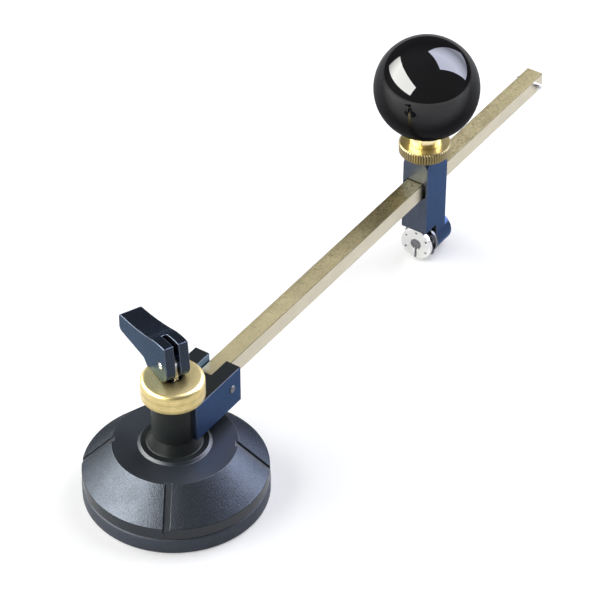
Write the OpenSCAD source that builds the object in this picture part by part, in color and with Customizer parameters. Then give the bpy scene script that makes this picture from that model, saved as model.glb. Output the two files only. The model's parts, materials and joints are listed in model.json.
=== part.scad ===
// Glass circle cutter: a suction base with a cam lever, a swivelling arm bracket,
// a hinged square bar, and a sliding cutter holder with a ball knob and a wheel turret.
// Units are millimetres. The origin is the centre of the suction pad on the glass.
// +X runs along the bar and +Z points up.

/* [Suction pad] */
// Outer diameter of the rubber pad
pad_d = 66.4; // [62:0.2:76]
// Height of the pad's rim, from the glass to the housing
pad_h = 6.5; // [6:0.1:9]
// Width of the flat sealing lip that lies on the glass
pad_lip_w = 4.2; // [3:0.1:6]
// Width of the pad's rim under the housing
pad_rim_w = 6.4; // [5:0.1:9]
// Height of the hollow under the middle of the pad
pad_hollow = 2.6; // [1.5:0.1:3]
// Thickness of the membrane in the middle of the pad
pad_web = 2.4; // [1.8:0.1:2.8]
// Rounding of the pad's outer edges
pad_edge = 0.9; // [0.3:0.1:1.5]

/* [Base housing] */
// How far the housing's skirt stands in from the pad's edge
skirt_inset = 0.2; // [0:0.1:1]
// Height of the straight skirt
skirt_h = 4.7; // [3:0.1:8]
// Height of the cone above the skirt
cone_h = 11; // [8:0.1:14]
// Diameter of the flat disc on top of the cone
disc_d = 44.2; // [36:0.2:50]
// Thickness of the housing's wall
housing_wall = 3.2; // [2.4:0.1:4]
// Thickness of the housing's roof under the disc
roof_t = 4; // [3:0.1:6]
// Bevel of the housing's outer edges
housing_edge = 0.5; // [0.2:0.1:1]
// Diameter of the neck that carries the bracket
neck_d = 15.4; // [14:0.1:18]
// Height of the neck above the disc
neck_h = 5; // [4:0.1:8]
// How far the neck widens on each side towards its foot
neck_taper = 2.2; // [1:0.1:3]
// Diameter of the ring at the foot of the neck
foot_d = 26; // [25:0.1:30]
// Height of the foot ring
foot_h = 0.9; // [0.5:0.1:1.5]
// Rounding of the foot ring's edge
foot_edge = 0.5; // [0.2:0.1:0.5]
// Radius of the hollow corner between the neck and the foot ring
foot_fillet = 0.6; // [0.3:0.1:0.8]
// Width of the four radial grooves in the cone
groove_w = 1.9; // [1:0.1:3]
// Depth of the radial grooves
groove_depth = 0.7; // [0.3:0.1:1.2]
// Turn of the first groove from the bar
groove_turn = 28; // [0:1:89]

/* [Centre post and cap] */
// Diameter of the hollow post
post_d = 10; // [9:0.1:11]
// Thickness of the thrust washer
washer_t = 0.6; // [0.4:0.1:1.2]
// Diameter of the thrust washer
washer_d = 15; // [13:0.1:16]
// Diameter of the brass cap
cap_d = 22.5; // [19:0.1:26]
// Height of the brass cap
cap_h = 7.7; // [6:0.1:10]
// Rounding of the cap's top edge
cap_edge = 1.7; // [0.4:0.1:2]
// Bevel of the cap's lower edge
cap_bevel = 0.4; // [0.2:0.1:1]
// Thickness of the cap's top over the post
cap_top_t = 1.6; // [1.2:0.1:3]
// Height gap above and below the swivelling bracket
swivel_gap = 0.1; // [0.05:0.05:0.3]

/* [Pull rod and spring] */
// Diameter of the pull rod
rod_d = 6; // [5:0.1:7]
// Diameter of the spigot at the foot of the rod
spigot_d = 4; // [3:0.1:4.5]
// Thickness of the tongue on top of the rod
tongue_t = 1.6; // [1.4:0.1:2.6]
// Setback of the tongue's edges from the round rod
eye_inset = 0.2; // [0.1:0.05:0.5]
// Height of the round rod end below the cap's top face
tongue_drop = 0.6; // [0.3:0.1:1.2]
// Diameter of the pull plate bonded to the pad
plate_d = 26; // [22:0.2:30]
// Thickness of the pull plate
plate_t = 1.5; // [1:0.1:2]
// Width across the flats of the rod nut
nut_af = 10; // [8:0.5:11]
// Height of the rod nut
nut_h = 3; // [2:0.1:4]
// Wire diameter of the release spring
spring_wire = 1.3; // [1:0.1:1.6]
// Mean diameter of the release spring
spring_d = 15; // [14:0.2:17]
// Turns of the release spring
spring_turns = 3.5; // [2.5:0.5:4]

/* [Cam lever] */
// Turn of the lever from the bar
lever_turn = 66; // [40:1:140]
// Width of the lever at the fork
lever_w = 9.4; // [8.8:0.1:12]
// Width of the lever at the tip
lever_tip_w = 8.6; // [7:0.1:8.8]
// Diameter of the lever's pin
lever_pin_d = 2.5; // [2:0.1:3]
// Pin height above the cap with the lever down
cam_high = 6.7; // [6:0.1:7.5]
// Pin height above the cap with the lever upright
cam_low = 4.5; // [4.2:0.1:5.5]
// Height of the fork above the pin
fork_top = 9.6; // [8:0.1:12]
// Length of the lever from the pin to the tip
lever_len = 29.5; // [24:0.5:36]
// Height of the tip's top above the pin
tip_top = 2.4; // [1:0.1:4]
// Thickness of the lever at the tip
tip_t = 6.9; // [5:0.1:7.5]
// Length of the flat foot from the pin
foot_len = 9.4; // [7:0.1:11]
// Rounding of the lever's tip
tip_round = 1.6; // [0.8:0.1:2.2]
// Depth of the thumb hollow on top of the lever
thumb_depth = 0.4; // [0.3:0.1:1.2]
// Distance of the thumb hollow from the pin
thumb_start = 9; // [8:0.5:12]
// Crown of the fork's top between its end and the thumb hollow
fork_crown = 0.6; // [0.2:0.1:1.2]
// Lean of the fork's end face away from the post
fork_lean = 1.2; // [0:0.1:1.5]
// Depth of the fork's slot past the pin
fork_depth = 5; // [4.5:0.1:7]
// Gap on each side of the tongue in the fork
fork_gap = 0.12; // [0.05:0.01:0.3]
// Gap between the lever's foot and the cap
cam_gap = 0.03; // [0.02:0.01:0.1]

/* [Arm bracket] */
// Diameter of the bracket's round hub
hub_d = 16; // [15:0.1:19]
// Height of the hub
hub_h = 16.1; // [14:0.1:20]
// Height of the fork block
block_h = 14.8; // [13:0.1:17]
// Width of the fork block
block_w = 19.3; // [16:0.1:24]
// Reach of the fork block from the post's axis
block_reach = 26.4; // [25:0.1:34]
// Outer diameter of the bronze bush
bush_d = 12; // [11.5:0.1:13]
// Distance of the bar pin from the post's axis
bar_pin_x = 21.3; // [20.5:0.1:22.5]
// Height of the bar pin above the bracket's underside
bar_pin_h = 8.1; // [7:0.1:9]
// Diameter of the bar pin
bar_pin_d = 3; // [2:0.1:3.5]
// How far the bar pin stands out of each cheek
bar_pin_proud = 0.3; // [0.1:0.1:1]
// Gap on each side of the bar in the fork
bar_side_gap = 0.1; // [0.05:0.01:0.3]
// Gap between the bar and the floor of the fork
bar_floor_gap = 0.05; // [0.02:0.01:0.2]
// Room behind the round end of the bar
bar_back_gap = 0.6; // [0.3:0.1:1]

/* [Bar] */
// Width of the square bar
bar_w = 7; // [6:0.1:8]
// Height of the square bar
bar_h = 7; // [6:0.1:8]
// Bevel of the bar's long edges
bar_edge = 0.2; // [0.1:0.05:0.8]
// Distance of the bar's far end from the post's axis
bar_end = 246; // [200:1:330]
// Diameter of the stop pin near the bar's end
stop_pin_d = 2.5; // [2:0.1:3.5]
// How far the stop pin stands out of each side of the bar
stop_pin_proud = 2; // [1:0.1:3]
// Distance of the stop pin from the bar's end
stop_pin_inset = 4.5; // [3:0.1:8]

/* [Cutter holder] */
// Distance of the knob's axis from the post's axis
holder_x = 161.75; // [120:0.25:185]
// Distance of the holder's middle beyond the knob's axis
holder_shift = 1; // [-0.5:0.1:1.2]
// Length of the holder along the bar
holder_len = 14.5; // [13:0.1:18]
// Width of the holder
holder_w = 11; // [10.4:0.1:15]
// Height of the holder above the bar's centre line
holder_above = 14.1; // [12:0.1:18]
// Height of the turned cone at the holder's top
holder_cone_h = 7.5; // [4:0.1:9]
// Diameter of the holder's round top
holder_top_d = 13.4; // [11:0.1:16]
// Gap on each side of the bar in the window
window_side_gap = 0.2; // [0.1:0.05:0.3]
// Gap under the bar in the window
window_floor_gap = 0.05; // [0.02:0.01:0.2]
// Gap over the bar in the window
window_roof_gap = 0.2; // [0.1:0.05:0.5]
// Width of the relief beside the window's mouth
relief_w = 0.9; // [0.3:0.1:1.1]
// Depth of the relief at the window's mouth
relief_depth = 1.2; // [0.5:0.1:2]
// Diameter of the round boss behind the turret
boss_d = 13; // [11:0.1:13.4]
// How far the boss stands out behind the holder
boss_proud = 3.5; // [0.5:0.1:4]

/* [Clamp and ball knob] */
// Diameter of the clamp pad
clamp_pad_d = 6.9; // [6.4:0.1:7.4]
// Thickness of the clamp pad
clamp_pad_t = 2.5; // [1.5:0.1:3]
// Lift room above the clamp pad
clamp_room = 1.4; // [1.2:0.1:2.5]
// Diameter of the clamp stud
stud_d = 6; // [5:0.1:6.3]
// Depth of the stud in the ball
stud_depth = 12; // [8:0.5:18]
// Diameter of the knurled ring
ring_d = 19.8; // [16:0.1:24]
// Height of the knurled ring
ring_h = 4.5; // [3:0.1:7]
// Bevel of the ring's edges
ring_edge = 0.5; // [0.2:0.1:1]
// Number of grooves in the ring's knurl
knurl_count = 60; // [30:2:72]
// Depth of the knurl's grooves
knurl_depth = 0.35; // [0.2:0.05:0.45]
// Gap under the knurled ring
ring_gap = 0.2; // [0.1:0.05:0.5]
// Diameter of the ferrule under the ball
ferrule_d = 12.2; // [10:0.1:16]
// Height of the ferrule
ferrule_h = 5.4; // [3:0.1:9]
// Rim of the ball's flat round the ferrule
ball_seat = 0.1; // [0.05:0.05:0.5]
// Diameter of the ball
ball_d = 40; // [30:0.5:50]

/* [Wheel turret] */
// Diameter of the two turret cheeks
cheek_d = 13.4; // [12.8:0.1:14]
// Thickness of the front cheek
front_cheek_t = 1.6; // [1.4:0.1:2.2]
// Thickness of the rear cheek
rear_cheek_t = 1.3; // [0.8:0.1:2]
// Gap between the cheeks
cheek_gap = 2.6; // [2:0.1:3]
// Setback of the turret from the holder's front face
turret_inset = 2.1; // [0.5:0.1:3]
// Room between the turret and the holder
turret_room = 0.8; // [0.5:0.1:1.5]
// Diameter of the turret's hub between the cheeks
turret_hub_d = 4.8; // [4.2:0.1:5]
// Diameter of the turret screw's shank
screw_d = 3; // [2.5:0.1:3.2]
// Diameter of the turret screw's head
screw_head_d = 4.2; // [3.8:0.1:4.6]
// Depth of the screw head in the front cheek
screw_head_t = 1; // [0.7:0.1:1.1]
// Width of the screwdriver slot
screw_slot_w = 0.7; // [0.5:0.1:1]
// Thickness of the spring washer behind the turret
spring_washer_t = 0.46; // [0.3:0.02:0.8]
// Diameter of the spring washer
spring_washer_d = 7; // [5:0.1:9]
// Radius of the circle of wheel axles
axle_circle_r = 5.2; // [5.1:0.1:5.4]
// Diameter of a cutting wheel
wheel_d = 4.4; // [4:0.1:4.6]
// Thickness of a cutting wheel's rim
wheel_t = 1.2; // [0.8:0.1:1.6]
// Diameter of a cutting wheel's hub
wheel_hub_d = 2.4; // [1.8:0.1:2.8]
// Height of the sharp edge above the rim
wheel_edge = 0.35; // [0.2:0.05:0.6]
// Diameter of a wheel axle
axle_d = 1.04; // [0.8:0.02:1.3]

/* [Running clearances] */
// Radial clearance of the turning and sliding pins
run_gap = 0.04; // [0.02:0.01:0.09]
// Gap between flat faces that pass each other
face_gap = 0.02; // [0.01:0.01:0.1]
// Radial room of the rod and the screw head in their holes
hole_room = 0.2; // [0.1:0.05:0.4]

/* [Hidden] */
$fn = 64;
// Overcut so that cuts pass clear through
over = 1;
// Cutting wheels, one node each
wheel_count = 6;

// Heights of the base, from the glass up
z_web = pad_hollow + pad_web;
z_plate = z_web + plate_t;
z_rim = pad_h + skirt_h;
z_disc = z_rim + cone_h;
z_roof = z_disc - roof_t;
z_foot = z_disc + foot_h;
z_neck = z_disc + neck_h;
z_hub = z_neck + swivel_gap;
z_hub_top = z_hub + hub_h;
z_washer = z_hub_top + swivel_gap;
z_cap = z_washer + washer_t;
z_cap_top = z_cap + cap_h;
z_post_top = z_cap_top - cap_top_t;
z_lever_pin = z_cap_top + cam_high + cam_gap;
z_bar = z_hub + bar_pin_h;

// Radii of the base
housing_d = pad_d - 2 * skirt_inset;
lip_in_r = pad_d / 2 - pad_edge - pad_lip_w;
rim_in_r = housing_d / 2 - pad_rim_w;
neck_r = neck_d / 2;
foot_r = foot_d / 2;

// Cam: the pin falls at a steady rate while the lever turns up a quarter turn
cam_turn = 90;
cam_lift = cam_high - cam_low;
cam_rate = cam_lift * 180 / PI / cam_turn;
cam_steps = 15;
eye_r = rod_d / 2 - eye_inset;
top_steps = 10;
top_slope = atan2(fork_top - tip_top, lever_len + cam_low);

// Room between the holder's corners and its turned cone
cone_room = 0.1;

// Places of the holder, the turret and the knob
holder_front = holder_x + holder_shift - holder_len / 2;
holder_back = holder_front + holder_len;
turret_front = holder_front + turret_inset;
wheel_front = turret_front + front_cheek_t;
rear_cheek_x = wheel_front + cheek_gap;
turret_back = rear_cheek_x + rear_cheek_t;
boss_front = turret_back + spring_washer_t + 2 * face_gap;
boss_back = holder_back + boss_proud;
wheel_x = wheel_front + cheek_gap / 2;
wheel_reach = axle_circle_r + wheel_d / 2;
z_turret = wheel_reach;
z_holder_step = z_turret + wheel_reach + turret_room;
z_holder_top = z_bar + holder_above;
z_bar_top = z_bar + bar_h / 2;
z_clamp_pad = z_bar_top + face_gap;
z_stud = z_clamp_pad + clamp_pad_t;
z_ring = z_holder_top + ring_gap;
z_ferrule = z_ring + ring_h;
z_ball_flat = z_ferrule + ferrule_h;
// Share of the knurl's pitch that its grooves take
knurl_land = 0.8;
ball_r = ball_d / 2;
ball_flat_r = ferrule_d / 2 + ball_seat;
z_ball = z_ball_flat + sqrt(ball_r * ball_r - ball_flat_r * ball_flat_r);
window_w = bar_w + 2 * window_side_gap;

rubber_black = [0.09, 0.09, 0.10];
housing_grey = [0.27, 0.30, 0.34];
lacquer_blue = [0.13, 0.17, 0.26];
brass_gold = [0.80, 0.70, 0.42];
steel_grey = [0.75, 0.76, 0.78];
dark_steel = [0.35, 0.36, 0.38];
ball_black = [0.04, 0.04, 0.05];
bronze_brown = [0.62, 0.45, 0.25];

// Points of an arc about c, from angle a to angle b
function arc(c, r, a, b, n) = [for (i = [0 : n]) let (t = a + (b - a) * i / n) c + r * [cos(t), sin(t)]];

// A ring between two heights
module ring(d_out, d_in, z0, h) {
    translate([0, 0, z0])
        difference() {
            cylinder(d = d_out, h = h);
            translate([0, 0, -over])
                cylinder(d = d_in, h = h + 2 * over);
        }
}

// A round bar along X
module rod_x(d, x0, x1) {
    translate([x0, 0, 0])
        rotate([0, 90, 0])
            cylinder(d = d, h = x1 - x0);
}

// A round bar across Y, centred
module rod_y(d, length) {
    rotate([90, 0, 0])
        cylinder(d = d, h = length, center = true);
}

// A box between two corners
module block(low, high) {
    translate(low)
        cube(high - low);
}

// Rubber pad with a flat lip and a domed hollow
module suction_pad() {
    steps = 12;
    dome = [for (i = [0 : steps]) [lip_in_r * i / steps, pad_hollow * (1 - pow(i / steps, 2))]];
    foot = arc([pad_d / 2 - pad_edge, pad_edge], pad_edge, -90, 0, 5);
    head = arc([pad_d / 2 - pad_edge, pad_h - pad_edge], pad_edge, 0, 90, 5);
    color(rubber_black)
        rotate_extrude()
            polygon(concat(dome, foot, head, [[rim_in_r, pad_h], [rim_in_r, z_web], [0, z_web]]));
}

// Bell-shaped housing: skirt, grooved cone, flat disc, foot ring and tapered neck
module base_housing() {
    r = housing_d / 2;
    cone_run = r - disc_d / 2;
    slope = atan2(cone_h, cone_run);
    inner_r = r - housing_wall / sin(slope);
    bell_z = z_rim + (inner_r - rim_in_r) * tan(slope);
    roof_r = inner_r - (z_roof - z_rim) / tan(slope);
    neck_slope = atan2(neck_h - foot_h, neck_taper);
    fillet_r = neck_r + neck_taper + foot_fillet * tan(neck_slope / 2);
    shell = concat(
        [[0, pad_h], [r - housing_edge, pad_h], [r, pad_h + housing_edge], [r, z_rim - housing_edge]],
        [[r - housing_edge, z_rim], [disc_d / 2, z_disc], [foot_r, z_disc]],
        arc([foot_r - foot_edge, z_foot - foot_edge], foot_edge, 0, 90, 4),
        arc([fillet_r, z_foot + foot_fillet], foot_fillet, 270, 270 - neck_slope, 4),
        [[neck_r, z_neck], [0, z_neck]]);
    bell = [[0, pad_h - over], [rim_in_r, pad_h - over], [rim_in_r, bell_z], [roof_r, z_roof], [0, z_roof]];
    color(housing_grey)
        difference() {
            rotate_extrude()
                polygon(shell);
            rotate_extrude()
                polygon(bell);
            cylinder(d = post_d, h = z_neck + over);
            for (i = [0 : 3])
                rotate([0, 0, groove_turn + 90 * i])
                    translate([disc_d / 2, 0, z_disc])
                        rotate([0, slope, 0])
                            translate([-groove_w / 2, -groove_w / 2, -groove_depth])
                                cube([norm([cone_run, cone_h]) + 2 * groove_w, groove_w, 2 * groove_w]);
        }
}

// Hollow post that holds the cap and guides the rod
module centre_post() {
    color(steel_grey)
        ring(post_d, rod_d + 2 * run_gap, z_roof, z_post_top - z_roof);
}

// Washer between the bracket and the cap
module thrust_washer() {
    color(steel_grey)
        ring(washer_d, post_d, z_washer, washer_t);
}

// Turned brass cap that closes the post
module brass_cap() {
    r = cap_d / 2;
    outline = concat(
        [[0, z_cap], [r - cap_bevel, z_cap], [r, z_cap + cap_bevel]],
        arc([r - cap_edge, z_cap_top - cap_edge], cap_edge, 0, 90, 6),
        [[0, z_cap_top]]);
    color(brass_gold)
        difference() {
            rotate_extrude()
                polygon(outline);
            translate([0, 0, z_cap - over])
                cylinder(d = post_d, h = z_post_top - z_cap + over);
            cylinder(d = rod_d + 2 * hole_room, h = z_cap_top + over);
        }
}

// Helix of the release spring, from the pull plate to the roof
spring_rings = ceil(spring_turns * 8);
spring_low = z_plate + spring_wire / 2 + face_gap;
spring_rise = z_roof - z_plate - spring_wire - 2 * face_gap;
function spring_point(i) = [
    spring_d / 2 * cos(360 * spring_turns * i / spring_rings),
    spring_d / 2 * sin(360 * spring_turns * i / spring_rings),
    spring_low + spring_rise * i / spring_rings];
spring_line = [for (i = [0 : spring_rings]) spring_point(i)];
spring_spans = [for (i = [0 : spring_rings - 4]) for (j = [i + 4 : spring_rings])
                norm(spring_line[i] - spring_line[j])];
echo(spring_least_gap = min(spring_spans) - spring_wire);

module release_spring() {
    sides = 6;
    points = [for (i = [0 : spring_rings]) for (j = [0 : sides - 1])
              spring_line[i] + spring_wire / 2 * (cos(360 * j / sides)
              * [cos(360 * spring_turns * i / spring_rings), sin(360 * spring_turns * i / spring_rings), 0]
              + sin(360 * j / sides) * [0, 0, 1])];
    wall = [for (i = [0 : spring_rings - 1]) for (j = [0 : sides - 1]) for (half = [0, 1])
            half == 0
            ? [i * sides + j, i * sides + (j + 1) % sides, (i + 1) * sides + (j + 1) % sides]
            : [i * sides + j, (i + 1) * sides + (j + 1) % sides, (i + 1) * sides + j]];
    first = [for (j = [1 : sides - 2]) [0, j + 1, j]];
    last_ring = spring_rings * sides;
    last = [for (j = [1 : sides - 2]) [last_ring, last_ring + j, last_ring + j + 1]];
    color(steel_grey)
        polyhedron(points = points, faces = concat(wall, first, last));
}

// Rod with a spigot for the plate and a flat tongue with an eye
module pull_rod() {
    z_tongue = z_cap_top - tongue_drop;
    color(steel_grey)
        difference() {
            union() {
                translate([0, 0, z_web])
                    cylinder(d = spigot_d, h = plate_t + over);
                translate([0, 0, z_plate])
                    cylinder(d = rod_d, h = z_tongue - z_plate);
                rotate([0, 0, lever_turn])
                    intersection() {
                        union() {
                            block([-eye_r, -tongue_t / 2, z_tongue - over],
                                  [eye_r, tongue_t / 2, z_lever_pin]);
                            translate([0, 0, z_lever_pin])
                                rod_y(2 * eye_r, tongue_t);
                        }
                        translate([0, 0, z_tongue - over])
                            cylinder(d = rod_d, h = z_lever_pin + 2 * eye_r);
                    }
            }
            translate([0, 0, z_lever_pin])
                rotate([0, 0, lever_turn])
                    rod_y(lever_pin_d + 2 * run_gap, rod_d);
        }
}

// Steel plate bonded to the pad's membrane
module pull_plate() {
    color(dark_steel)
        ring(plate_d, spigot_d, z_web, plate_t);
}

// Nut that locks the plate on the rod
module rod_nut() {
    color(dark_steel)
        translate([0, 0, z_plate])
            difference() {
                cylinder(d = nut_af / cos(30), h = nut_h, $fn = 6);
                translate([0, 0, -over])
                    cylinder(d = rod_d, h = nut_h + 2 * over);
            }
}

// Height of the cam's foot below the pin at a lever angle, and the point that then faces down
function cam_height(a) = cam_high - cam_lift * a / cam_turn;
function cam_point(a) = cam_height(a) * [-sin(a), -cos(a)] - cam_rate * [-cos(a), sin(a)];

// Side outline of the lever, with the pin at the origin. Its straight top line falls to the tip,
// with a hollow for the thumb below the line and a crown on the fork above it.
function lever_top(s) = tip_top + (lever_len - s) * tan(top_slope);
function top_points(s0, s1, rise) = [
    for (i = [0 : top_steps]) let (t = i / top_steps, s = s0 + (s1 - s0) * t)
        [s, lever_top(s) + rise * sin(180 * t)]];
function lever_outline() = let (round_s = lever_len - tip_round) concat(
    [for (i = [0 : cam_steps]) cam_point(cam_turn * (1 - i / cam_steps))],
    [[foot_len, -cam_high], [foot_len + cam_high - tip_t + tip_top, tip_top - tip_t]],
    arc([round_s, tip_top - tip_t + tip_round], tip_round, -90, 0, 5),
    arc([round_s, lever_top(round_s) - tip_round / cos(top_slope)], tip_round, 0, 90 - top_slope, 5),
    top_points(round_s, thumb_start, -thumb_depth),
    top_points(thumb_start, fork_lean - cam_low, fork_crown));

// Forked lever whose foot is a cam on the cap
module cam_lever() {
    fork = tongue_t / 2 + fork_gap;
    color(lacquer_blue)
        translate([0, 0, z_lever_pin])
            rotate([0, 0, lever_turn])
                difference() {
                    intersection() {
                        rotate([90, 0, 0])
                            linear_extrude(height = lever_w, center = true)
                                polygon(lever_outline());
                        linear_extrude(height = 4 * fork_top, center = true)
                            polygon([[-cam_low - over, -lever_w / 2], [thumb_start, -lever_w / 2],
                                     [lever_len, -lever_tip_w / 2], [lever_len, lever_tip_w / 2],
                                     [thumb_start, lever_w / 2], [-cam_low - over, lever_w / 2]]);
                    }
                    block([-cam_low - over, -fork, -cam_high - over],
                          [fork_depth, fork, fork_top + fork_crown + over]);
                    rod_y(lever_pin_d, lever_w + 2 * over);
                }
}

// Pin through the fork and the tongue
module lever_pin() {
    color(steel_grey)
        translate([0, 0, z_lever_pin])
            rotate([0, 0, lever_turn])
                rod_y(lever_pin_d, lever_w);
}

// Bracket: round hub on the post and a fork for the bar
module arm_bracket() {
    fork = bar_w / 2 + bar_side_gap;
    fork_back = bar_pin_x - bar_h / 2 - bar_back_gap;
    fork_floor = z_bar - bar_h / 2 - bar_floor_gap;
    color(lacquer_blue)
        difference() {
            union() {
                translate([0, 0, z_hub])
                    cylinder(d = hub_d, h = hub_h);
                block([0, -block_w / 2, z_hub], [block_reach, block_w / 2, z_hub + block_h]);
            }
            translate([0, 0, z_hub - over])
                cylinder(d = bush_d, h = hub_h + 2 * over);
            block([fork_back, -fork, fork_floor], [block_reach + over, fork, z_hub_top + over]);
            translate([bar_pin_x, 0, z_bar])
                rod_y(bar_pin_d, block_w + 2 * over);
        }
}

// Bronze bush between the hub and the post
module sleeve_bush() {
    color(bronze_brown)
        ring(bush_d, post_d + 2 * run_gap, z_hub, hub_h);
}

// Hinge pin of the bar
module bar_pin() {
    color(dark_steel)
        translate([bar_pin_x, 0, z_bar])
            rod_y(bar_pin_d, block_w + 2 * bar_pin_proud);
}

// Half of the bar's bevelled section, from its centre line up
function bar_half() = let (w = bar_w / 2, h = bar_h / 2) [
    [0, -w], [h - bar_edge, -w], [h, bar_edge - w], [h, w - bar_edge], [h - bar_edge, w], [0, w]];

// Square bar with bevelled edges and a round hinge end
module square_bar() {
    color(brass_gold)
        difference() {
            translate([bar_pin_x, 0, z_bar])
                union() {
                    for (side = [0, 180])
                        rotate([side, 0, 0])
                            rotate([0, -90, 180])
                                linear_extrude(height = bar_end - bar_pin_x)
                                    polygon(bar_half());
                    rotate([90, 0, 0])
                        rotate_extrude()
                            polygon(bar_half());
                }
            translate([bar_pin_x, 0, z_bar])
                rod_y(bar_pin_d + 2 * run_gap, bar_w + 2 * over);
            translate([bar_end - stop_pin_inset, 0, z_bar])
                rod_y(stop_pin_d, bar_w + 2 * over);
        }
}

// Cross pin that keeps the holder on the bar
module stop_pin() {
    color(steel_grey)
        translate([bar_end - stop_pin_inset, 0, z_bar])
            rod_y(stop_pin_d, bar_w + 2 * stop_pin_proud);
}

// Holder: a block on the bar with a turned top, and a boss for the turret
module cutter_holder() {
    corner_r = norm([holder_len / 2 + abs(holder_shift), holder_w / 2]) + cone_room;
    z_cone = z_holder_top - holder_cone_h;
    z_window = z_bar - bar_h / 2 - window_floor_gap;
    window_h = bar_h + window_floor_gap + window_roof_gap;
    color(lacquer_blue)
        difference() {
            union() {
                intersection() {
                    block([holder_front, -holder_w / 2, z_holder_step],
                          [holder_back, holder_w / 2, z_holder_top]);
                    translate([holder_x, 0, 0])
                        union() {
                            cylinder(r = corner_r, h = z_cone);
                            translate([0, 0, z_cone])
                                cylinder(r1 = corner_r, d2 = holder_top_d, h = holder_cone_h);
                        }
                }
                block([boss_front, -holder_w / 2, z_turret],
                      [holder_back, holder_w / 2, z_holder_step + over]);
                translate([0, 0, z_turret])
                    rod_x(boss_d, boss_front, boss_back);
            }
            translate([holder_front - over, -window_w / 2, z_window])
                cube([holder_len + 2 * over, window_w, window_h]);
            for (x = [holder_front - over, holder_back - relief_depth])
                translate([x, -window_w / 2 - relief_w, z_window + relief_w])
                    cube([relief_depth + over, window_w + 2 * relief_w, window_h - 2 * relief_w]);
            translate([holder_x, 0, z_bar])
                cylinder(d = clamp_pad_d + 2 * run_gap, h = z_stud + clamp_room - z_bar);
            translate([holder_x, 0, z_bar])
                cylinder(d = stud_d + 2 * run_gap, h = holder_above + over);
            translate([0, 0, z_turret])
                rod_x(screw_d, boss_front - over, boss_back + over);
        }
}

// Screw that carries the turret
module turret_screw() {
    color(dark_steel)
        translate([0, 0, z_turret])
            difference() {
                union() {
                    rod_x(screw_head_d, turret_front, turret_front + screw_head_t - face_gap);
                    rod_x(screw_d, turret_front, boss_back);
                }
                block([turret_front - over, -screw_head_d, -screw_slot_w / 2],
                      [turret_front + screw_head_t / 2, screw_head_d, screw_slot_w / 2]);
            }
}

// Washer that presses the turret forward
module spring_washer() {
    color(steel_grey)
        translate([turret_back + face_gap, 0, z_turret])
            rotate([0, 90, 0])
                ring(spring_washer_d, screw_d, 0, spring_washer_t);
}

// Brass pad that the stud presses on the bar
module clamp_pad() {
    color(brass_gold)
        translate([holder_x, 0, z_clamp_pad])
            cylinder(d = clamp_pad_d, h = clamp_pad_t);
}

// Clamp stud, from the pad into the ball
module clamp_stud() {
    color(steel_grey)
        translate([holder_x, 0, z_stud])
            cylinder(d = stud_d, h = z_ball_flat + stud_depth - z_stud);
}

// Brass ring under the ferrule, with a straight knurl round its edge
module knurled_ring() {
    r = ring_d / 2;
    groove_half = PI * r / knurl_count * (knurl_depth + over) / knurl_depth;
    color(brass_gold)
        translate([holder_x, 0, z_ring])
            difference() {
                rotate_extrude()
                    polygon([[stud_d / 2, 0], [r - ring_edge, 0], [r, ring_edge], [r, ring_h - ring_edge],
                             [r - ring_edge, ring_h], [stud_d / 2, ring_h]]);
                for (i = [0 : knurl_count - 1])
                    rotate([0, 0, 360 / knurl_count * i])
                        translate([r - knurl_depth, 0, -over])
                            linear_extrude(height = ring_h + 2 * over)
                                polygon([[0, 0], [knurl_depth + over, -knurl_land * groove_half],
                                         [knurl_depth + over, knurl_land * groove_half]]);
            }
}

// Brass ferrule between the ring and the ball
module knob_ferrule() {
    color(brass_gold)
        translate([holder_x, 0, 0])
            ring(ferrule_d, stud_d, z_ferrule, ferrule_h);
}

// Ball with a small flat for the ferrule
module ball_knob() {
    color(ball_black)
        translate([holder_x, 0, 0])
            difference() {
                translate([0, 0, z_ball])
                    sphere(d = ball_d, $fn = 96);
                block([-ball_r, -ball_r, z_ball - 2 * ball_r], [ball_r, ball_r, z_ball_flat]);
                translate([0, 0, z_ball_flat - over])
                    cylinder(d = stud_d, h = stud_depth + over);
            }
}

// Places its children at one wheel's axle
module at_axle(i) {
    translate([0, 0, z_turret])
        rotate([360 / wheel_count * i, 0, 0])
            translate([0, 0, -axle_circle_r])
                children();
}

// A turret cheek with its axle holes
module cheek(x, t, bore) {
    difference() {
        translate([0, 0, z_turret])
            rod_x(cheek_d, x, x + t);
        translate([0, 0, z_turret])
            rod_x(bore, x - over, x + t + over);
        for (i = [0 : wheel_count - 1])
            at_axle(i)
                rod_x(axle_d, x - over, x + t + over);
    }
}

// Front cheek with a recess for the screw head
module front_cheek() {
    color(steel_grey)
        difference() {
            cheek(turret_front, front_cheek_t, screw_d + 2 * run_gap);
            translate([0, 0, z_turret])
                rod_x(screw_head_d + 2 * hole_room, turret_front - over, turret_front + screw_head_t);
        }
}

// Rear cheek against the spring washer
module rear_cheek() {
    color(steel_grey)
        cheek(rear_cheek_x, rear_cheek_t, screw_d + 2 * run_gap);
}

// Spacer hub between the cheeks
module turret_hub() {
    color(steel_grey)
        translate([wheel_front, 0, z_turret])
            rotate([0, 90, 0])
                ring(turret_hub_d, screw_d + 2 * run_gap, 0, cheek_gap);
}

// Axles of the cutting wheels, flush with the cheeks
module wheel_axles() {
    color(dark_steel)
        for (i = [0 : wheel_count - 1])
            at_axle(i)
                rod_x(axle_d, turret_front, turret_back);
}

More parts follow.
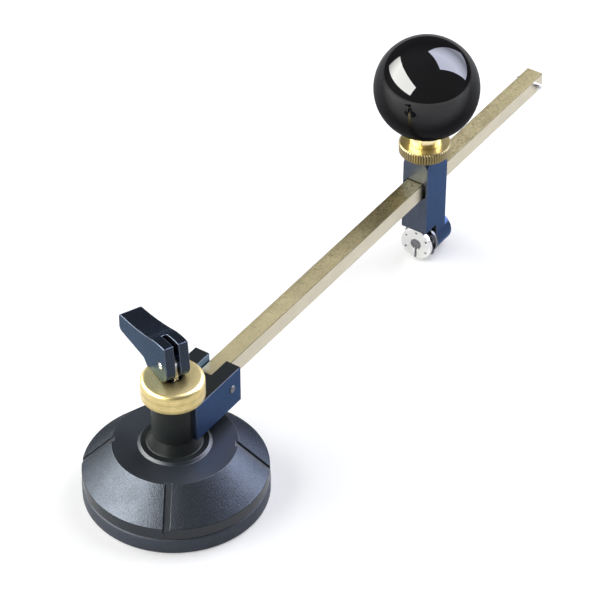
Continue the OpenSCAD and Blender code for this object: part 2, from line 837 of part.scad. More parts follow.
// One cutting wheel with a sharp edge and a raised hub
module cutting_wheel(i) {
    r = wheel_d / 2;
    bore = axle_d / 2 + run_gap;
    half = cheek_gap / 2 - 2 * face_gap;
    color(dark_steel)
        at_axle(i)
            translate([wheel_x, 0, 0])
                rotate([0, 90, 0])
                    rotate_extrude()
                        polygon([[bore, -half], [wheel_hub_d / 2, -half], [wheel_hub_d / 2, -wheel_t / 2],
                                 [r - wheel_edge, -wheel_t / 2], [r, 0], [r - wheel_edge, wheel_t / 2],
                                 [wheel_hub_d / 2, wheel_t / 2], [wheel_hub_d / 2, half], [bore, half]]);
}

suction_pad();
base_housing();
centre_post();
thrust_washer();
brass_cap();
release_spring();
pull_rod();
pull_plate();
rod_nut();
cam_lever();
lever_pin();
arm_bracket();
sleeve_bush();
bar_pin();
square_bar();
stop_pin();
cutter_holder();
turret_screw();
spring_washer();
clamp_pad();
clamp_stud();
knurled_ring();
knob_ferrule();
ball_knob();
front_cheek();
rear_cheek();
turret_hub();
wheel_axles();
for (i = [1 : wheel_count])
    cutting_wheel(i - 1);
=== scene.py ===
"""Glass circle cutter: the looks of every piece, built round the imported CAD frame."""

import json
import math

import bmesh
import bpy
from bpy.props import FloatProperty, FloatVectorProperty, IntProperty, PointerProperty
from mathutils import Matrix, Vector

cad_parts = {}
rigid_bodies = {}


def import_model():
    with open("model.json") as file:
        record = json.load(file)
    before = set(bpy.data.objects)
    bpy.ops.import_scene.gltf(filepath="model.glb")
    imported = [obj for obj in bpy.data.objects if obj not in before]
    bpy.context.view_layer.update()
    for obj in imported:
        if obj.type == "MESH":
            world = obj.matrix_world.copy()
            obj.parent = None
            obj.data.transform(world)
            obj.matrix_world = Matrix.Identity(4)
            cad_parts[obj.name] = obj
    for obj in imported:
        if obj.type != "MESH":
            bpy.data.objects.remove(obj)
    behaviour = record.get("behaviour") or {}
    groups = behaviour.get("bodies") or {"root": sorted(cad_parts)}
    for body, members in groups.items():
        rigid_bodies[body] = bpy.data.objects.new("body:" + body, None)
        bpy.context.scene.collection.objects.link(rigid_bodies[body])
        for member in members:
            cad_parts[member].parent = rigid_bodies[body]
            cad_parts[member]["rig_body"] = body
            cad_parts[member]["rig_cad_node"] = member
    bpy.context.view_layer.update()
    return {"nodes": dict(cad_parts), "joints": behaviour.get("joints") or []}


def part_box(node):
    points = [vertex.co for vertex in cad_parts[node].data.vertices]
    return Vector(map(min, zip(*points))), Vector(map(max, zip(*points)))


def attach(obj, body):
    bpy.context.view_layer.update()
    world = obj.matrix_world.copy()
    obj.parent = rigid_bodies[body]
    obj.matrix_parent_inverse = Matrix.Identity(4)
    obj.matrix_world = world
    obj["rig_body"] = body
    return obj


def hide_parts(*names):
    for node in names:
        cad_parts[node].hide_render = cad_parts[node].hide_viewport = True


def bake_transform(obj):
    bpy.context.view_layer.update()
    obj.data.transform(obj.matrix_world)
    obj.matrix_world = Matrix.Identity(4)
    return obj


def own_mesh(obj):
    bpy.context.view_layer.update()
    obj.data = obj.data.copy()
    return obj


bl_info = {
    "name": "Glass circle cutter",
    "version": (1, 0, 0),
    "blender": (4, 5, 0),
    "location": "View3D > Sidebar > Cutter",
    "description": "Models and finishes the pieces of a glass circle cutter round its CAD frame",
    "category": "Mesh",
}

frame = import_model()

MM = 0.001
# Vertices closer than this are one vertex
MERGE = 0.002 * MM
# Faces flatter to each other than this are one face of the CAD solid
FLAT = math.radians(0.5)
# Edges sharper than this are softened and shade as corners
SHARP = math.radians(30)
# A difference between the directions of faces that is smaller than this counts as none
LEVEL = 0.1
# Steps of a small rounding in a turned outline, of the foot's hollow corner and of the cap's top edge
ROUND_STEPS, FILLET_STEPS, CAP_STEPS = 4, 6, 10
# Columns of the turned ring for each groove of its knurl
KNURL_COLUMNS = 4
# Sides of the spring's wire, and steps of one of its turns
WIRE_SIDES, TURN_STEPS = 16, 48
GROOVE_COUNT = 4
WHEEL_COUNT = 6
# Room between an axle and its wheel's bore
RUN_GAP = 0.04 * MM
# Distance of a lamp, and the gap between its two parts, which would hide each other at one place
LAMP_DISTANCE, LAMP_GAP = 1.0, 0.02

X_AXIS, Y_AXIS, Z_AXIS = Vector((1, 0, 0)), Vector((0, 1, 0)), Vector((0, 0, 1))
ORIGIN = Vector((0, 0, 0))


def low(node):
    """The lowest corner of a CAD node's box."""
    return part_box(node)[0]


def high(node):
    """The highest corner of a CAD node's box."""
    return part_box(node)[1]


def middle(node):
    """The centre of a CAD node's box."""
    return (low(node) + high(node)) / 2


def half_size(node):
    """Half the size of a CAD node's box."""
    return (high(node) - low(node)) / 2


def joint(name):
    """A joint of the frame by its name."""
    return next(made for made in frame["joints"] if made["name"] == name)


# Settings

def length(name, description, default):
    """A size in metres that a user may change."""
    return FloatProperty(name=name, description=description, default=default, unit="LENGTH",
                         precision=5)


def colour(name, description, default):
    """A linear colour that a user may change."""
    return FloatVectorProperty(name=name, description=description, default=default, subtype="COLOR",
                               size=3, min=0.0, max=1.0)


def angle(name, description, degrees):
    """An angle that a user may change."""
    return FloatProperty(name=name, description=description, default=math.radians(degrees),
                         subtype="ANGLE")


def amount(name, description, default):
    """A plain number that a user may change."""
    return FloatProperty(name=name, description=description, default=default, min=0.0)


def plate(name, description, default):
    """The width and height of a flat thing that a user may change."""
    return FloatVectorProperty(name=name, description=description, default=default, size=2, unit="LENGTH")


class BaseSettings(bpy.types.PropertyGroup):
    """Sizes of the suction pad, the housing and the cap."""

    pad_edge: length("Pad edge", "Rounding of the pad's outer edges", 0.9 * MM)
    lip_edge: length("Lip edge", "Rounding inside the pad's lip", 0.3 * MM)
    pad_lip: length("Pad lip", "Width of the flat lip on the glass", 4.2 * MM)
    pad_rim: length("Pad rim", "Width of the pad's rim under the housing", 6.4 * MM)
    pad_hollow: length("Pad hollow", "Height of the hollow under the pad", 2.6 * MM)
    skirt_height: length("Skirt height", "Height of the straight skirt", 4.7 * MM)
    disc_height: length("Disc height", "Height of the disc above the glass", 22.2 * MM)
    disc_radius: length("Disc radius", "Radius of the flat disc on the cone", 22.1 * MM)
    wall: length("Wall", "Thickness of the housing's wall", 3.2 * MM)
    roof: length("Roof", "Thickness of the housing's roof", 4.0 * MM)
    neck_radius: length("Neck radius", "Radius of the neck", 7.7 * MM)
    neck_taper: length("Neck taper", "How far the neck widens towards its foot", 2.2 * MM)
    foot_radius: length("Foot radius", "Radius of the ring at the neck's foot", 13 * MM)
    foot_height: length("Foot height", "Height of the foot ring", 0.9 * MM)
    foot_bevel: length("Foot bevel", "Width of the bevel round the foot ring", 0.95 * MM)
    foot_fillet: length("Foot fillet", "Hollow corner between the neck and the foot ring", 0.6 * MM)
    groove_width: length("Groove width", "Width of the radial grooves", 2.5 * MM)
    groove_depth: length("Groove depth", "Depth of the radial grooves", 0.7 * MM)
    groove_turn: angle("Groove turn", "Turn of the first groove from the bar", 30.4)
    edge: length("Edge", "Rounding of the housing's edges", 0.5 * MM)
    inner_edge: length("Inner edge", "Rounding of the corners inside the housing", 1 * MM)
    rim_edge: length("Rim edge", "Rounding of the housing's inner rim and its foot ring", 0.2 * MM)
    neck_edge: length("Neck edge", "Rounding of the neck's top and the cap's bore", 0.1 * MM)
    rod_gap: length("Rod gap", "Room round the pull rod in the cap", 0.2 * MM)
    hole_edge: length("Hole edge", "Rounding of the hole for the rod", 0.15 * MM)
    cap_edge: length("Cap edge", "Rounding of the cap's top edge", 1.7 * MM)
    cap_bevel: length("Cap bevel", "Rounding of the cap's lower edge", 0.4 * MM)


class ArmSettings(bpy.types.PropertyGroup):
    """Sizes of the lever, the bracket, the bar and the holder."""

    lever_edge: length("Lever edge", "Rounding of the lever's edges", 0.3 * MM)
    block_edge: length("Block edge", "Rounding of the bracket's and holder's edges", 0.22 * MM)
    bar_edge: length("Bar edge", "Rounding of the bar's edges", 0.06 * MM)
    rod_edge: length("Rod edge", "Rounding of the pull rod's edges", 0.06 * MM)
    screw_edge: length("Screw edge", "Rounding of the turret screw's edges", 0.03 * MM)
    pin_edge: length("Pin edge", "Rounding of the pins' ends", 0.35 * MM)
    dimple: length("Dimple", "Radius of the dimple in a pin's end", 0.5 * MM)


class KnobSettings(bpy.types.PropertyGroup):
    """Sizes of the knob, the wheel turret and the release spring."""

    knurl_count: IntProperty(name="Knurl count", description="Grooves round the ring", default=60, min=12)
    knurl_depth: length("Knurl depth", "Depth of the knurl's grooves", 0.35 * MM)
    ring_radius: length("Ring radius", "Radius of the knurled ring", 9.9 * MM)
    ring_edge: length("Ring edge", "Bevel of the ring's edges", 0.5 * MM)
    ferrule_edge: length("Ferrule edge", "Rounding of the ferrule's edges", 0.25 * MM)
    stud_depth: length("Stud depth", "Depth of the stud in the ball", 12 * MM)
    cheek_edge: length("Cheek edge", "Rounding of the turret cheeks' edges", 0.1 * MM)
    mark_width: length("Mark width", "Width of the mark on the front cheek", 0.9 * MM)
    mark_depth: length("Mark depth", "Depth of the mark on the front cheek", 0.4 * MM)
    wheel_bevel: length("Wheel bevel", "Height of a wheel's sharp edge", 0.35 * MM)
    wheel_edge: length("Wheel edge", "Rounding of a wheel's edges", 0.05 * MM)
    wheel_rim: length("Wheel rim", "Thickness of a wheel's rim", 1.2 * MM)
    wheel_hub: length("Wheel hub", "Radius of a wheel's hub", 1.2 * MM)
    axle_radius: length("Axle radius", "Radius of the wheels' axles", 0.52 * MM)
    axle_edge: length("Axle edge", "Rounding of the axles' ends", 0.2 * MM)
    spring_wire: length("Spring wire", "Diameter of the release spring's wire", 1.3 * MM)
    spring_turns: amount("Spring turns", "Turns of the release spring", 3.5)


class FinishSettings(bpy.types.PropertyGroup):
    """Colours of the finishes."""

    rubber: colour("Rubber", "Suction pad", (0.022, 0.030, 0.050))
    panel: colour("Panel enamel", "Grained panels of the cone", (0.057, 0.064, 0.075))
    disc: colour("Disc enamel", "Smooth disc and grooves", (0.010, 0.015, 0.023))
    skirt: colour("Skirt enamel", "Skirt under the cone", (0.006, 0.011, 0.019))
    column: colour("Column enamel", "Glossy neck, hub and foot ring", (0.017, 0.020, 0.020))
    lacquer: colour("Lacquer", "Bracket and holder", (0.028, 0.046, 0.098))
    lever: colour("Lever lacquer", "Cam lever", (0.030, 0.038, 0.054))
    # The face's greyer lacquer is a painted reflection of greyer surroundings on that side
    front: colour("Front lacquer", "Face of the holder", (0.068, 0.080, 0.108))
    # The edges' lighter lacquer is wear and also a painted highlight on the bevels
    rubbed: colour("Rubbed lacquer", "Worn edges of the lacquer", (0.075, 0.090, 0.120))
    cap_brass: colour("Cap brass", "Turned cap", (0.620, 0.500, 0.228))
    ferrule_brass: colour("Ferrule brass", "Polished ferrule", (0.860, 0.730, 0.420))
    bar_brass: colour("Bar brass", "Top of the drawn bar", (0.620, 0.530, 0.285))
    # The sides' paler brass is painted light falling on them from the side
    bar_side: colour("Bar side", "Sides of the bar, rubbed by the holder", (0.570, 0.520, 0.400))
    # The tarnish colour also carries the painted dark reflection of the ball near the holder
    bar_tarnish: colour("Bar tarnish", "Tarnish on the bar", (0.230, 0.180, 0.085))
    # The edges' dark brass is painted shade that keeps their highlight faint
    bar_edge: colour("Bar edge", "Worn edges of the bar", (0.110, 0.092, 0.050))
    ring_brass: colour("Ring brass", "Knurled ring", (0.270, 0.220, 0.110))
    steel: colour("Steel", "Bright turned steel", (0.620, 0.620, 0.630))
    dark_steel: colour("Dark steel", "Blackened steel", (0.160, 0.160, 0.170))
    nickel: colour("Nickel", "Front cheek and hub of the turret", (0.760, 0.760, 0.750))
    wheel_steel: colour("Wheel steel", "Cutting wheels", (0.120, 0.124, 0.132))
    bronze: colour("Bronze", "Sleeve bush", (0.500, 0.330, 0.160))
    resin: colour("Resin", "Ball knob", (0.006, 0.006, 0.007))


class StageSettings(bpy.types.PropertyGroup):
    """The camera, the lights and the floor."""

    azimuth: angle("Azimuth", "Turn of the camera from the bar's side", -55.88)
    elevation: angle("Elevation", "Height angle of the camera", 39.08)
    distance: length("Distance", "Distance of the camera from its target", 0.9818)
    target: FloatVectorProperty(name="Target", description="Point that the camera looks at",
                                default=(0.0779, 0.0003, 0.0329), subtype="XYZ")
    lens: amount("Lens", "Focal length of the camera in millimetres", 162)
    sensor: amount("Sensor", "Width of the camera's sensor in millimetres", 36)
    window_azimuth: angle("Window azimuth", "Turn of the large lamp from the bar's side", 63.6)
    window_elevation: angle("Window elevation", "Height angle of the large lamp", 42)
    window_size: plate("Window size", "Width and height of the large lamp", (1.0, 1.26))
    window_tint: colour("Window tint", "Colour of the large lamp", (0.78, 0.82, 1.0))
    window_fill: amount("Window fill", "Light of the large lamp on dull surfaces", 3.4)
    window_gleam: amount("Window gleam", "Brightness of the large lamp in reflections", 11)
    strip_azimuth: angle("Strip azimuth", "Turn of the long lamp from the bar's side", -137.2)
    strip_elevation: angle("Strip elevation", "Height angle of the long lamp", 29.7)
    strip_size: plate("Strip size", "Width and height of the long lamp", (1.83, 0.5))
    strip_tint: colour("Strip tint", "Colour of the long lamp", (1.0, 1.0, 0.97))
    strip_fill: amount("Strip fill", "Light of the long lamp on dull surfaces", 4.8)
    strip_gleam: amount("Strip gleam", "Brightness of the long lamp in reflections", 15)
    world_level: amount("World level", "Brightness of the room", 0.15)
    floor_tone: amount("Floor tone", "Share of light that the floor throws back", 0.8)
    floor_white: amount("Floor white", "Light that the floor adds for a white ground", 0.28)
    floor_near: length("Near floor", "Radius of the floor that the lamps light fully", 0.4)
    floor_far: length("Far floor", "Radius from which the floor shows white by itself", 1.6)
    floor_size: length("Floor size", "Width of the floor", 40.0)


# Modelling helpers

def clear_selection():
    """Leave object mode's selection empty."""
    if bpy.context.mode != "OBJECT":
        bpy.ops.object.mode_set(mode="OBJECT")
    bpy.ops.object.select_all(action="DESELECT")


def select_only(piece):
    """Select one piece in object mode and make it the active one."""
    clear_selection()
    piece.select_set(True)
    bpy.context.view_layer.objects.active = piece


def rounded(outline, closed):
    """Points of an outline of (radius, height, rounding[, steps]) corners."""
    corners = [Vector(corner[:2]) for corner in outline]
    points = []
    for i, corner in enumerate(corners):
        rounding = outline[i][2] if len(outline[i]) > 2 else 0.0
        at_end = not closed and i in (0, len(corners) - 1)
        if at_end or rounding == 0.0:
            points.append(corner)
            continue
        steps = outline[i][3] if len(outline[i]) > 3 else ROUND_STEPS
        back = (corners[i - 1] - corner).normalized()
        ahead = (corners[(i + 1) % len(corners)] - corner).normalized()
        half = back.angle(ahead) / 2
        centre = corner + (back + ahead).normalized() * rounding / math.sin(half)
        first = corner + back * rounding / math.tan(half) - centre
        last = corner + ahead * rounding / math.tan(half) - centre
        sweep = first.angle(last)
        for step in range(steps + 1):
            share = step / steps
            mixed = first * math.sin((1 - share) * sweep) + last * math.sin(share * sweep)
            points.append(centre + mixed / math.sin(sweep))
    return points


def smooth(piece):
    """Shade a piece smooth, with corners at its sharp edges."""
    select_only(piece)
    bpy.ops.object.shade_smooth_by_angle(angle=SHARP)


def turned(name, outline, centre=ORIGIN, axis=Z_AXIS, steps=128):
    """Turn an outline about an axis. An outline that leaves the axis has a bore and is closed."""
    closed = outline[0][0] > 0
    across = X_AXIS if axis == Z_AXIS else Z_AXIS
    points = [centre + across * radius + axis * height for radius, height in rounded(outline, closed)]
    if closed:
        points.append(points[0])
    clear_selection()
    # A small plane, merged to one vertex, starts the outline
    bpy.ops.mesh.primitive_plane_add(size=MM, location=points[0], enter_editmode=True)
    piece = bpy.context.object
    piece.name = piece.data.name = name
    bpy.ops.mesh.merge(type="CENTER")
    for here, there in zip(points, points[1:]):
        bpy.ops.mesh.extrude_vertices_move(TRANSFORM_OT_translate={"value": there - here})
    bpy.ops.mesh.select_all(action="SELECT")
    bpy.ops.mesh.spin(steps=steps, angle=math.tau, center=centre, axis=axis)
    bpy.ops.mesh.select_all(action="SELECT")
    bpy.ops.mesh.remove_doubles(threshold=MERGE)
    bpy.ops.mesh.normals_make_consistent(inside=False)
    bpy.ops.object.mode_set(mode="OBJECT")
    bpy.ops.object.transform_apply(location=True, rotation=True, scale=True)
    smooth(piece)
    return piece


def apply_modifier(piece, kind, **settings):
    """Add a modifier to a piece and apply it."""
    select_only(piece)
    modifier = piece.modifiers.new(kind.title(), kind)
    for key, value in settings.items():
        setattr(modifier, key, value)
    bpy.ops.object.modifier_apply(modifier=modifier.name)


def soften(piece, edge, edge_slot=-1):
    """Round the sharp edges of a piece and keep its flat faces flat."""
    smooth(piece)
    apply_modifier(piece, "BEVEL", width=edge, segments=3, limit_method="ANGLE", angle_limit=SHARP,
                   use_clamp_overlap=False, material=edge_slot)
    apply_modifier(piece, "WEIGHTED_NORMAL", keep_sharp=True)


def cut_away(piece, centre, size, rotation=(0.0, 0.0, 0.0)):
    """Cut a block out of a piece."""
    clear_selection()
    bpy.ops.mesh.primitive_cube_add(size=1, location=centre, rotation=rotation)
    cutter = bpy.context.object
    cutter.scale = size
    bpy.ops.object.transform_apply(location=True, rotation=True, scale=True)
    apply_modifier(piece, "BOOLEAN", operation="DIFFERENCE", object=cutter, solver="EXACT")
    bpy.data.objects.remove(cutter)


def merged_copy(node):
    """A copy of a CAD node as one closed mesh, without the edges inside its flat faces."""
    select_only(frame["nodes"][node])
    bpy.ops.object.duplicate()
    piece = bpy.context.object
    piece.name = piece.data.name = node + "_softened"
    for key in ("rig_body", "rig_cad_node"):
        del piece[key]
    bpy.ops.object.parent_clear(type="CLEAR_KEEP_TRANSFORM")
    bpy.ops.mesh.customdata_custom_splitnormals_clear()
    bpy.ops.object.mode_set(mode="EDIT")
    bpy.ops.mesh.select_all(action="SELECT")
    bpy.ops.mesh.remove_doubles(threshold=MERGE)
    bpy.ops.mesh.dissolve_limited(angle_limit=FLAT)
    bpy.ops.object.mode_set(mode="OBJECT")
    return piece


def softened_copy(node, edge, *coats):
    """A copy of a CAD node with rounded edges, which take the last of its coats."""
    piece = merged_copy(node)
    paint(piece, *coats)
    soften(piece, edge, edge_slot=len(coats) - 1)
    return piece


def copied(piece, name, shift):
    """A copy of a piece, with its own mesh, moved by a shift."""
    select_only(piece)
    bpy.ops.object.duplicate()
    twin = bpy.context.object
    twin.name = twin.data.name = name
    bpy.ops.transform.translate(value=shift)
    bpy.ops.object.transform_apply(location=True, rotation=True, scale=True)
    return twin


def paint(piece, *coats):
    """Give a piece its coats by their names, the first one on every face."""
    piece.data.materials.clear()
    for coat in coats:
        piece.data.materials.append(finish_of(coat))


def settle(piece, body, slot, *nodes):
    """Ride a piece on its body, and let it stand for CAD nodes."""
    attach(piece, body)
    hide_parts(*nodes)


# Material helpers

def place(tree, kind, inputs=None, **settings):
    """Add a node, set its settings, and link or set its inputs."""
    node = tree.nodes.new(kind)
    for key, value in settings.items():
        setattr(node, key, value)
    for key, value in (inputs or {}).items():
        if isinstance(value, bpy.types.NodeSocket):
            tree.links.new(value, node.inputs[key])
        else:
            node.inputs[key].default_value = value
    return node


def math_node(tree, operation, *values):
    """The output of a Math node."""
    return place(tree, "ShaderNodeMath", dict(enumerate(values)), operation=operation).outputs[0]


def new_group(name):
    """A shader node group from a Vector to a Value, with its input and output nodes."""
    tree = bpy.data.node_groups.new(name, "ShaderNodeTree")
    tree.interface.new_socket("Vector", in_out="INPUT", socket_type="NodeSocketVector")
    tree.interface.new_socket("Value", in_out="OUTPUT", socket_type="NodeSocketFloat")
    return tree, place(tree, "NodeGroupInput").outputs["Vector"], place(tree, "NodeGroupOutput")


def ranged(tree, value, given, result=(0.0, 1.0)):
    """A value of a given range, brought to the range of a result and kept inside it."""
    ends = {"From Min": given[0], "From Max": given[1], "To Min": result[0], "To Max": result[1]}
    return place(tree, "ShaderNodeMapRange", {"Value": value, **ends}).outputs["Result"]


def measured(tree, size, centre=ORIGIN, turn=(0.0, 0.0, 0.0)):
    """Places on the piece, counted from a centre in units of a size and turned."""
    coordinates = place(tree, "ShaderNodeTexCoord")
    inputs = {"Vector": coordinates.outputs["Object"], "Location": centre, "Rotation": turn, "Scale": size}
    return place(tree, "ShaderNodeMapping", inputs, vector_type="TEXTURE").outputs["Vector"]


# The values of the noise and of the pebbles that are spread from nought to one
NOISE_RANGE, PEBBLE_RANGE = (0.3, 0.7), (0.1, 0.5)


def cloud_group():
    """Soft uneven clouds, for smudges, fine grain and tarnish."""
    tree, vector, result = new_group("soft_clouds")
    noise = place(tree, "ShaderNodeTexNoise",
                  {"Vector": vector, "Scale": 1.0, "Detail": 5.0, "Roughness": 0.6})
    tree.links.new(ranged(tree, noise.outputs["Fac"], NOISE_RANGE), result.inputs["Value"])
    return tree


def pebble_group():
    """Rounded pebbles of a textured enamel."""
    tree, vector, result = new_group("enamel_pebbles")
    cells = place(tree, "ShaderNodeTexVoronoi", {"Vector": vector, "Scale": 1.0, "Smoothness": 0.6},
                  feature="SMOOTH_F1")
    noise = place(tree, "ShaderNodeTexNoise", {"Vector": vector, "Scale": 0.7, "Detail": 3.0})
    bumps = math_node(tree, "SUBTRACT", 1.0, cells.outputs["Distance"])
    mixed = math_node(tree, "MULTIPLY", bumps, noise.outputs["Fac"])
    tree.links.new(ranged(tree, mixed, PEBBLE_RANGE), result.inputs["Value"])
    return tree


def turning_group():
    """Fine rings left by a lathe, round the local Z axis."""
    tree, vector, result = new_group("turning_marks")
    parts = place(tree, "ShaderNodeSeparateXYZ", {"Vector": vector})
    flat = place(tree, "ShaderNodeVectorMath", {0: vector, 1: (1.0, 1.0, 0.0)}, operation="MULTIPLY")
    radius = place(tree, "ShaderNodeVectorMath", {0: flat.outputs["Vector"]}, operation="LENGTH")
    rings = place(tree, "ShaderNodeCombineXYZ", {"X": radius.outputs["Value"], "Y": parts.outputs["Z"]})
    noise = place(tree, "ShaderNodeTexNoise",
                  {"Vector": rings.outputs["Vector"], "Scale": 1.0, "Detail": 3.0}, noise_dimensions="2D")
    tree.links.new(ranged(tree, noise.outputs["Fac"], NOISE_RANGE), result.inputs["Value"])
    return tree


GROUPS = {"clouds": cloud_group, "pebbles": pebble_group, "turning": turning_group}
made_groups = {}
made_finishes = {}


def marks(tree, kind, size, centre=ORIGIN, turn=(0.0, 0.0, 0.0)):
    """The value of a marks group whose features have a real size, centred and turned on the piece."""
    if kind not in made_groups:
        made_groups[kind] = GROUPS[kind]()
    group = place(tree, "ShaderNodeGroup", node_tree=made_groups[kind])
    tree.links.new(measured(tree, size, centre, turn), group.inputs["Vector"])
    return group.outputs["Value"]


def coordinate(tree, axis):
    """A place on the piece along the axis X, Y or Z."""
    coordinates = place(tree, "ShaderNodeTexCoord")
    parts = place(tree, "ShaderNodeSeparateXYZ", {"Vector": coordinates.outputs["Object"]})
    return parts.outputs[axis]


def blend_colours(tree, share, first, second):
    """A colour between two colours."""
    return place(tree, "ShaderNodeMix", {0: share, 6: first, 7: second}, data_type="RGBA").outputs[2]


def tinted(base, factor):
    """A colour made lighter or darker, with an alpha of one."""
    return (*[min(1.0, part * factor) for part in base], 1.0)


def even(size):
    """A size that is the same along every axis."""
    return size, size, size


# Share of the large smudges in a finish, and the smoothest that a finish gets
SMUDGE_SHARE, LEAST_ROUGHNESS = 0.4, 0.02


def finish(name, base, roughness, kind, size, centre=ORIGIN, turn=(0.0, 0.0, 0.0), metallic=1.0,
           spread=0.08, tint=0.15, depth=0.0, wear=12 * MM, **sockets):
    """A Principled material with marks in its colour, roughness and bump, and larger smudges over them."""
    material = bpy.data.materials.new(name)
    material.use_nodes = True
    tree = material.node_tree
    shader = tree.nodes["Principled BSDF"]
    value = marks(tree, kind, size, centre, turn)
    smudge = marks(tree, "clouds", even(wear))
    fine = math_node(tree, "MULTIPLY", value, 1 - SMUDGE_SHARE)
    mixed = math_node(tree, "MULTIPLY_ADD", smudge, SMUDGE_SHARE, fine)
    surface = blend_colours(tree, mixed, tinted(base, 1 - tint), tinted(base, 1 + tint))
    tree.links.new(surface, shader.inputs["Base Color"])
    gloss = roughness + spread, max(LEAST_ROUGHNESS, roughness - spread)
    tree.links.new(ranged(tree, mixed, (0.0, 1.0), gloss), shader.inputs["Roughness"])
    shader.inputs["Metallic"].default_value = metallic
    if depth > 0:
        bump = place(tree, "ShaderNodeBump", {"Height": value, "Strength": 1.0, "Distance": depth})
        tree.links.new(bump.outputs["Normal"], shader.inputs["Normal"])
    for key, number in sockets.items():
        shader.inputs[key.replace("_", " ")].default_value = number
    return material


def finish_of(name):
    """A finish by its name, made when it is first asked for."""
    if name not in made_finishes:
        made_finishes[name] = FINISHES[name](bpy.context.scene.cutter_finish)
    return made_finishes[name]


# Finishes

# Length, width and height of the brush marks in the lacquer and of the scratches along the bar
BRUSHED = 0.8 * MM, 0.8 * MM, 2 * MM
SCRATCHED = 6 * MM, 0.25 * MM, 0.25 * MM


def rubber(look):
    """Moulded black rubber, dull and slightly dusty."""
    return finish("rubber", look.rubber, roughness=0.62, kind="clouds", size=even(0.6 * MM), metallic=0.0,
                  depth=0.02 * MM, tint=0.25)


def panel_enamel(look):
    """Grained blue-grey enamel of the cone's panels."""
    return finish("panel_enamel", look.panel, roughness=0.45, kind="pebbles", size=even(0.42 * MM),
                  depth=0.04 * MM, tint=0.3, spread=0.06, Specular_Tint=(0.10, 0.11, 0.13, 1.0))


def disc_enamel(look):
    """Smooth satin enamel of the disc and the grooves."""
    return finish("disc_enamel", look.disc, roughness=0.40, kind="clouds", size=even(0.5 * MM),
                  metallic=0.0, depth=0.01 * MM)


def skirt_enamel(look):
    """Satin dark enamel of the skirt."""
    return finish("skirt_enamel", look.skirt, roughness=0.32, kind="clouds", size=even(0.5 * MM),
                  metallic=0.0, depth=0.004 * MM, Specular_IOR_Level=0.4)


def column_enamel(look):
    """Glossy black enamel of the neck, its foot ring and the hub, also laid on the bracket's tops as
    painted shade.
    """
    return finish("column_enamel", look.column, roughness=0.36, kind="clouds", size=even(2 * MM),
                  metallic=0.0, spread=0.05, Specular_IOR_Level=0.16)


def foot_enamel(look):
    """Glossy enamel of the foot ring's bevel."""
    return finish("foot_enamel", look.skirt, roughness=0.40, kind="clouds", size=even(0.5 * MM),
                  metallic=0.0, spread=0.04)


def lacquer(look):
    """Satin blue-black lacquer of the bracket and the holder, over brushed metal."""
    return finish("lacquer", look.lacquer, roughness=0.34, kind="clouds", size=BRUSHED, metallic=0.8,
                  depth=0.002 * MM, tint=0.12, spread=0.05, Specular_Tint=(0.50, 0.66, 0.96, 1.0))


def lever_lacquer(look):
    """Greyer lacquer of the cam lever."""
    return finish("lever_lacquer", look.lever, roughness=0.26, kind="clouds", size=BRUSHED, metallic=0.8,
                  depth=0.002 * MM, tint=0.12, spread=0.05, Specular_Tint=(0.48, 0.58, 0.74, 1.0))


def front_lacquer(look):
    """Greyer and duller lacquer of the holder's face: the grey is a painted reflection of greyer
    surroundings on that side.
    """
    return finish("front_lacquer", look.front, roughness=0.40, kind="clouds", size=BRUSHED, metallic=0.8,
                  depth=0.002 * MM, tint=0.2, spread=0.05, Specular_Tint=(0.64, 0.75, 0.96, 1.0))


def rubbed_lacquer(look):
    """Lighter lacquer along the edges: wear, and a painted highlight on the bevels."""
    return finish("rubbed_lacquer", look.rubbed, roughness=0.36, kind="clouds", size=even(1.2 * MM),
                  tint=0.35, spread=0.1)


def cap_brass(look):
    """Turned brass of the cap, with fine rings."""
    return finish("cap_brass", look.cap_brass, roughness=0.40, kind="turning", size=even(0.3 * MM),
                  centre=middle("brass_cap"), depth=0.006 * MM, tint=0.28, wear=3 * MM)


def ferrule_brass(look):
    """Polished brass of the ferrule."""
    return finish("ferrule_brass", look.ferrule_brass, roughness=0.18, kind="turning",
                  size=even(0.3 * MM), centre=middle("knob_ferrule"), depth=0.002 * MM, tint=0.05,
                  spread=0.03)


def ring_brass(look):
    """Knurled brass, dull in its grooves."""
    return finish("ring_brass", look.ring_brass, roughness=0.34, kind="clouds", size=even(0.4 * MM),
                  depth=0.02 * MM, tint=0.35)


# Pitch and reach of the lines of the bar's scale, in millimetres
SCALE_ROWS = (1, 1.5), (5, 2.4), (10, 3.4)
# Half the width and the depth of a line, and the start of the scale along the bar, in millimetres
LINE_HALF, LINE_DEPTH, SCALE_START = 0.1, 0.05, 40
# Tone of the spots and the lines beside the tarnish, and how strongly the lines show
SPOT_TONE, LINE_TONE, LINE_STRENGTH = 0.3, 0.25, 0.6


def graduation(tree):
    """A mask of engraved lines across the bar's top, at each millimetre, five and ten."""
    far_edge = Vector((0, high("square_bar").y, high("square_bar").z))
    parts = place(tree, "ShaderNodeSeparateXYZ", {"Vector": measured(tree, even(MM), far_edge)})
    along, inward, depth = parts.outputs
    mask = None
    for pitch, reach in SCALE_ROWS:
        offset = math_node(tree, "PINGPONG", along, pitch / 2)
        line = math_node(tree, "LESS_THAN", offset, LINE_HALF)
        row = math_node(tree, "MULTIPLY", line, math_node(tree, "GREATER_THAN", inward, -reach))
        mask = row if mask is None else math_node(tree, "MAXIMUM", mask, row)
    on_top = math_node(tree, "GREATER_THAN", depth, -LINE_DEPTH)
    from_bracket = math_node(tree, "GREATER_THAN", along, SCALE_START)
    mask = math_node(tree, "MULTIPLY", mask, on_top)
    return math_node(tree, "MULTIPLY", mask, from_bracket)


def ball_reflection_near_holder(tree, reach):
    """A mask of the painted dark reflection of the ball, growing from a distance along the bar up to the
    holder's place.
    """
    offset = math_node(tree, "SUBTRACT", coordinate(tree, "X"), middle("cutter_holder").x)
    return ranged(tree, math_node(tree, "ABSOLUTE", offset), (reach, 0.0))


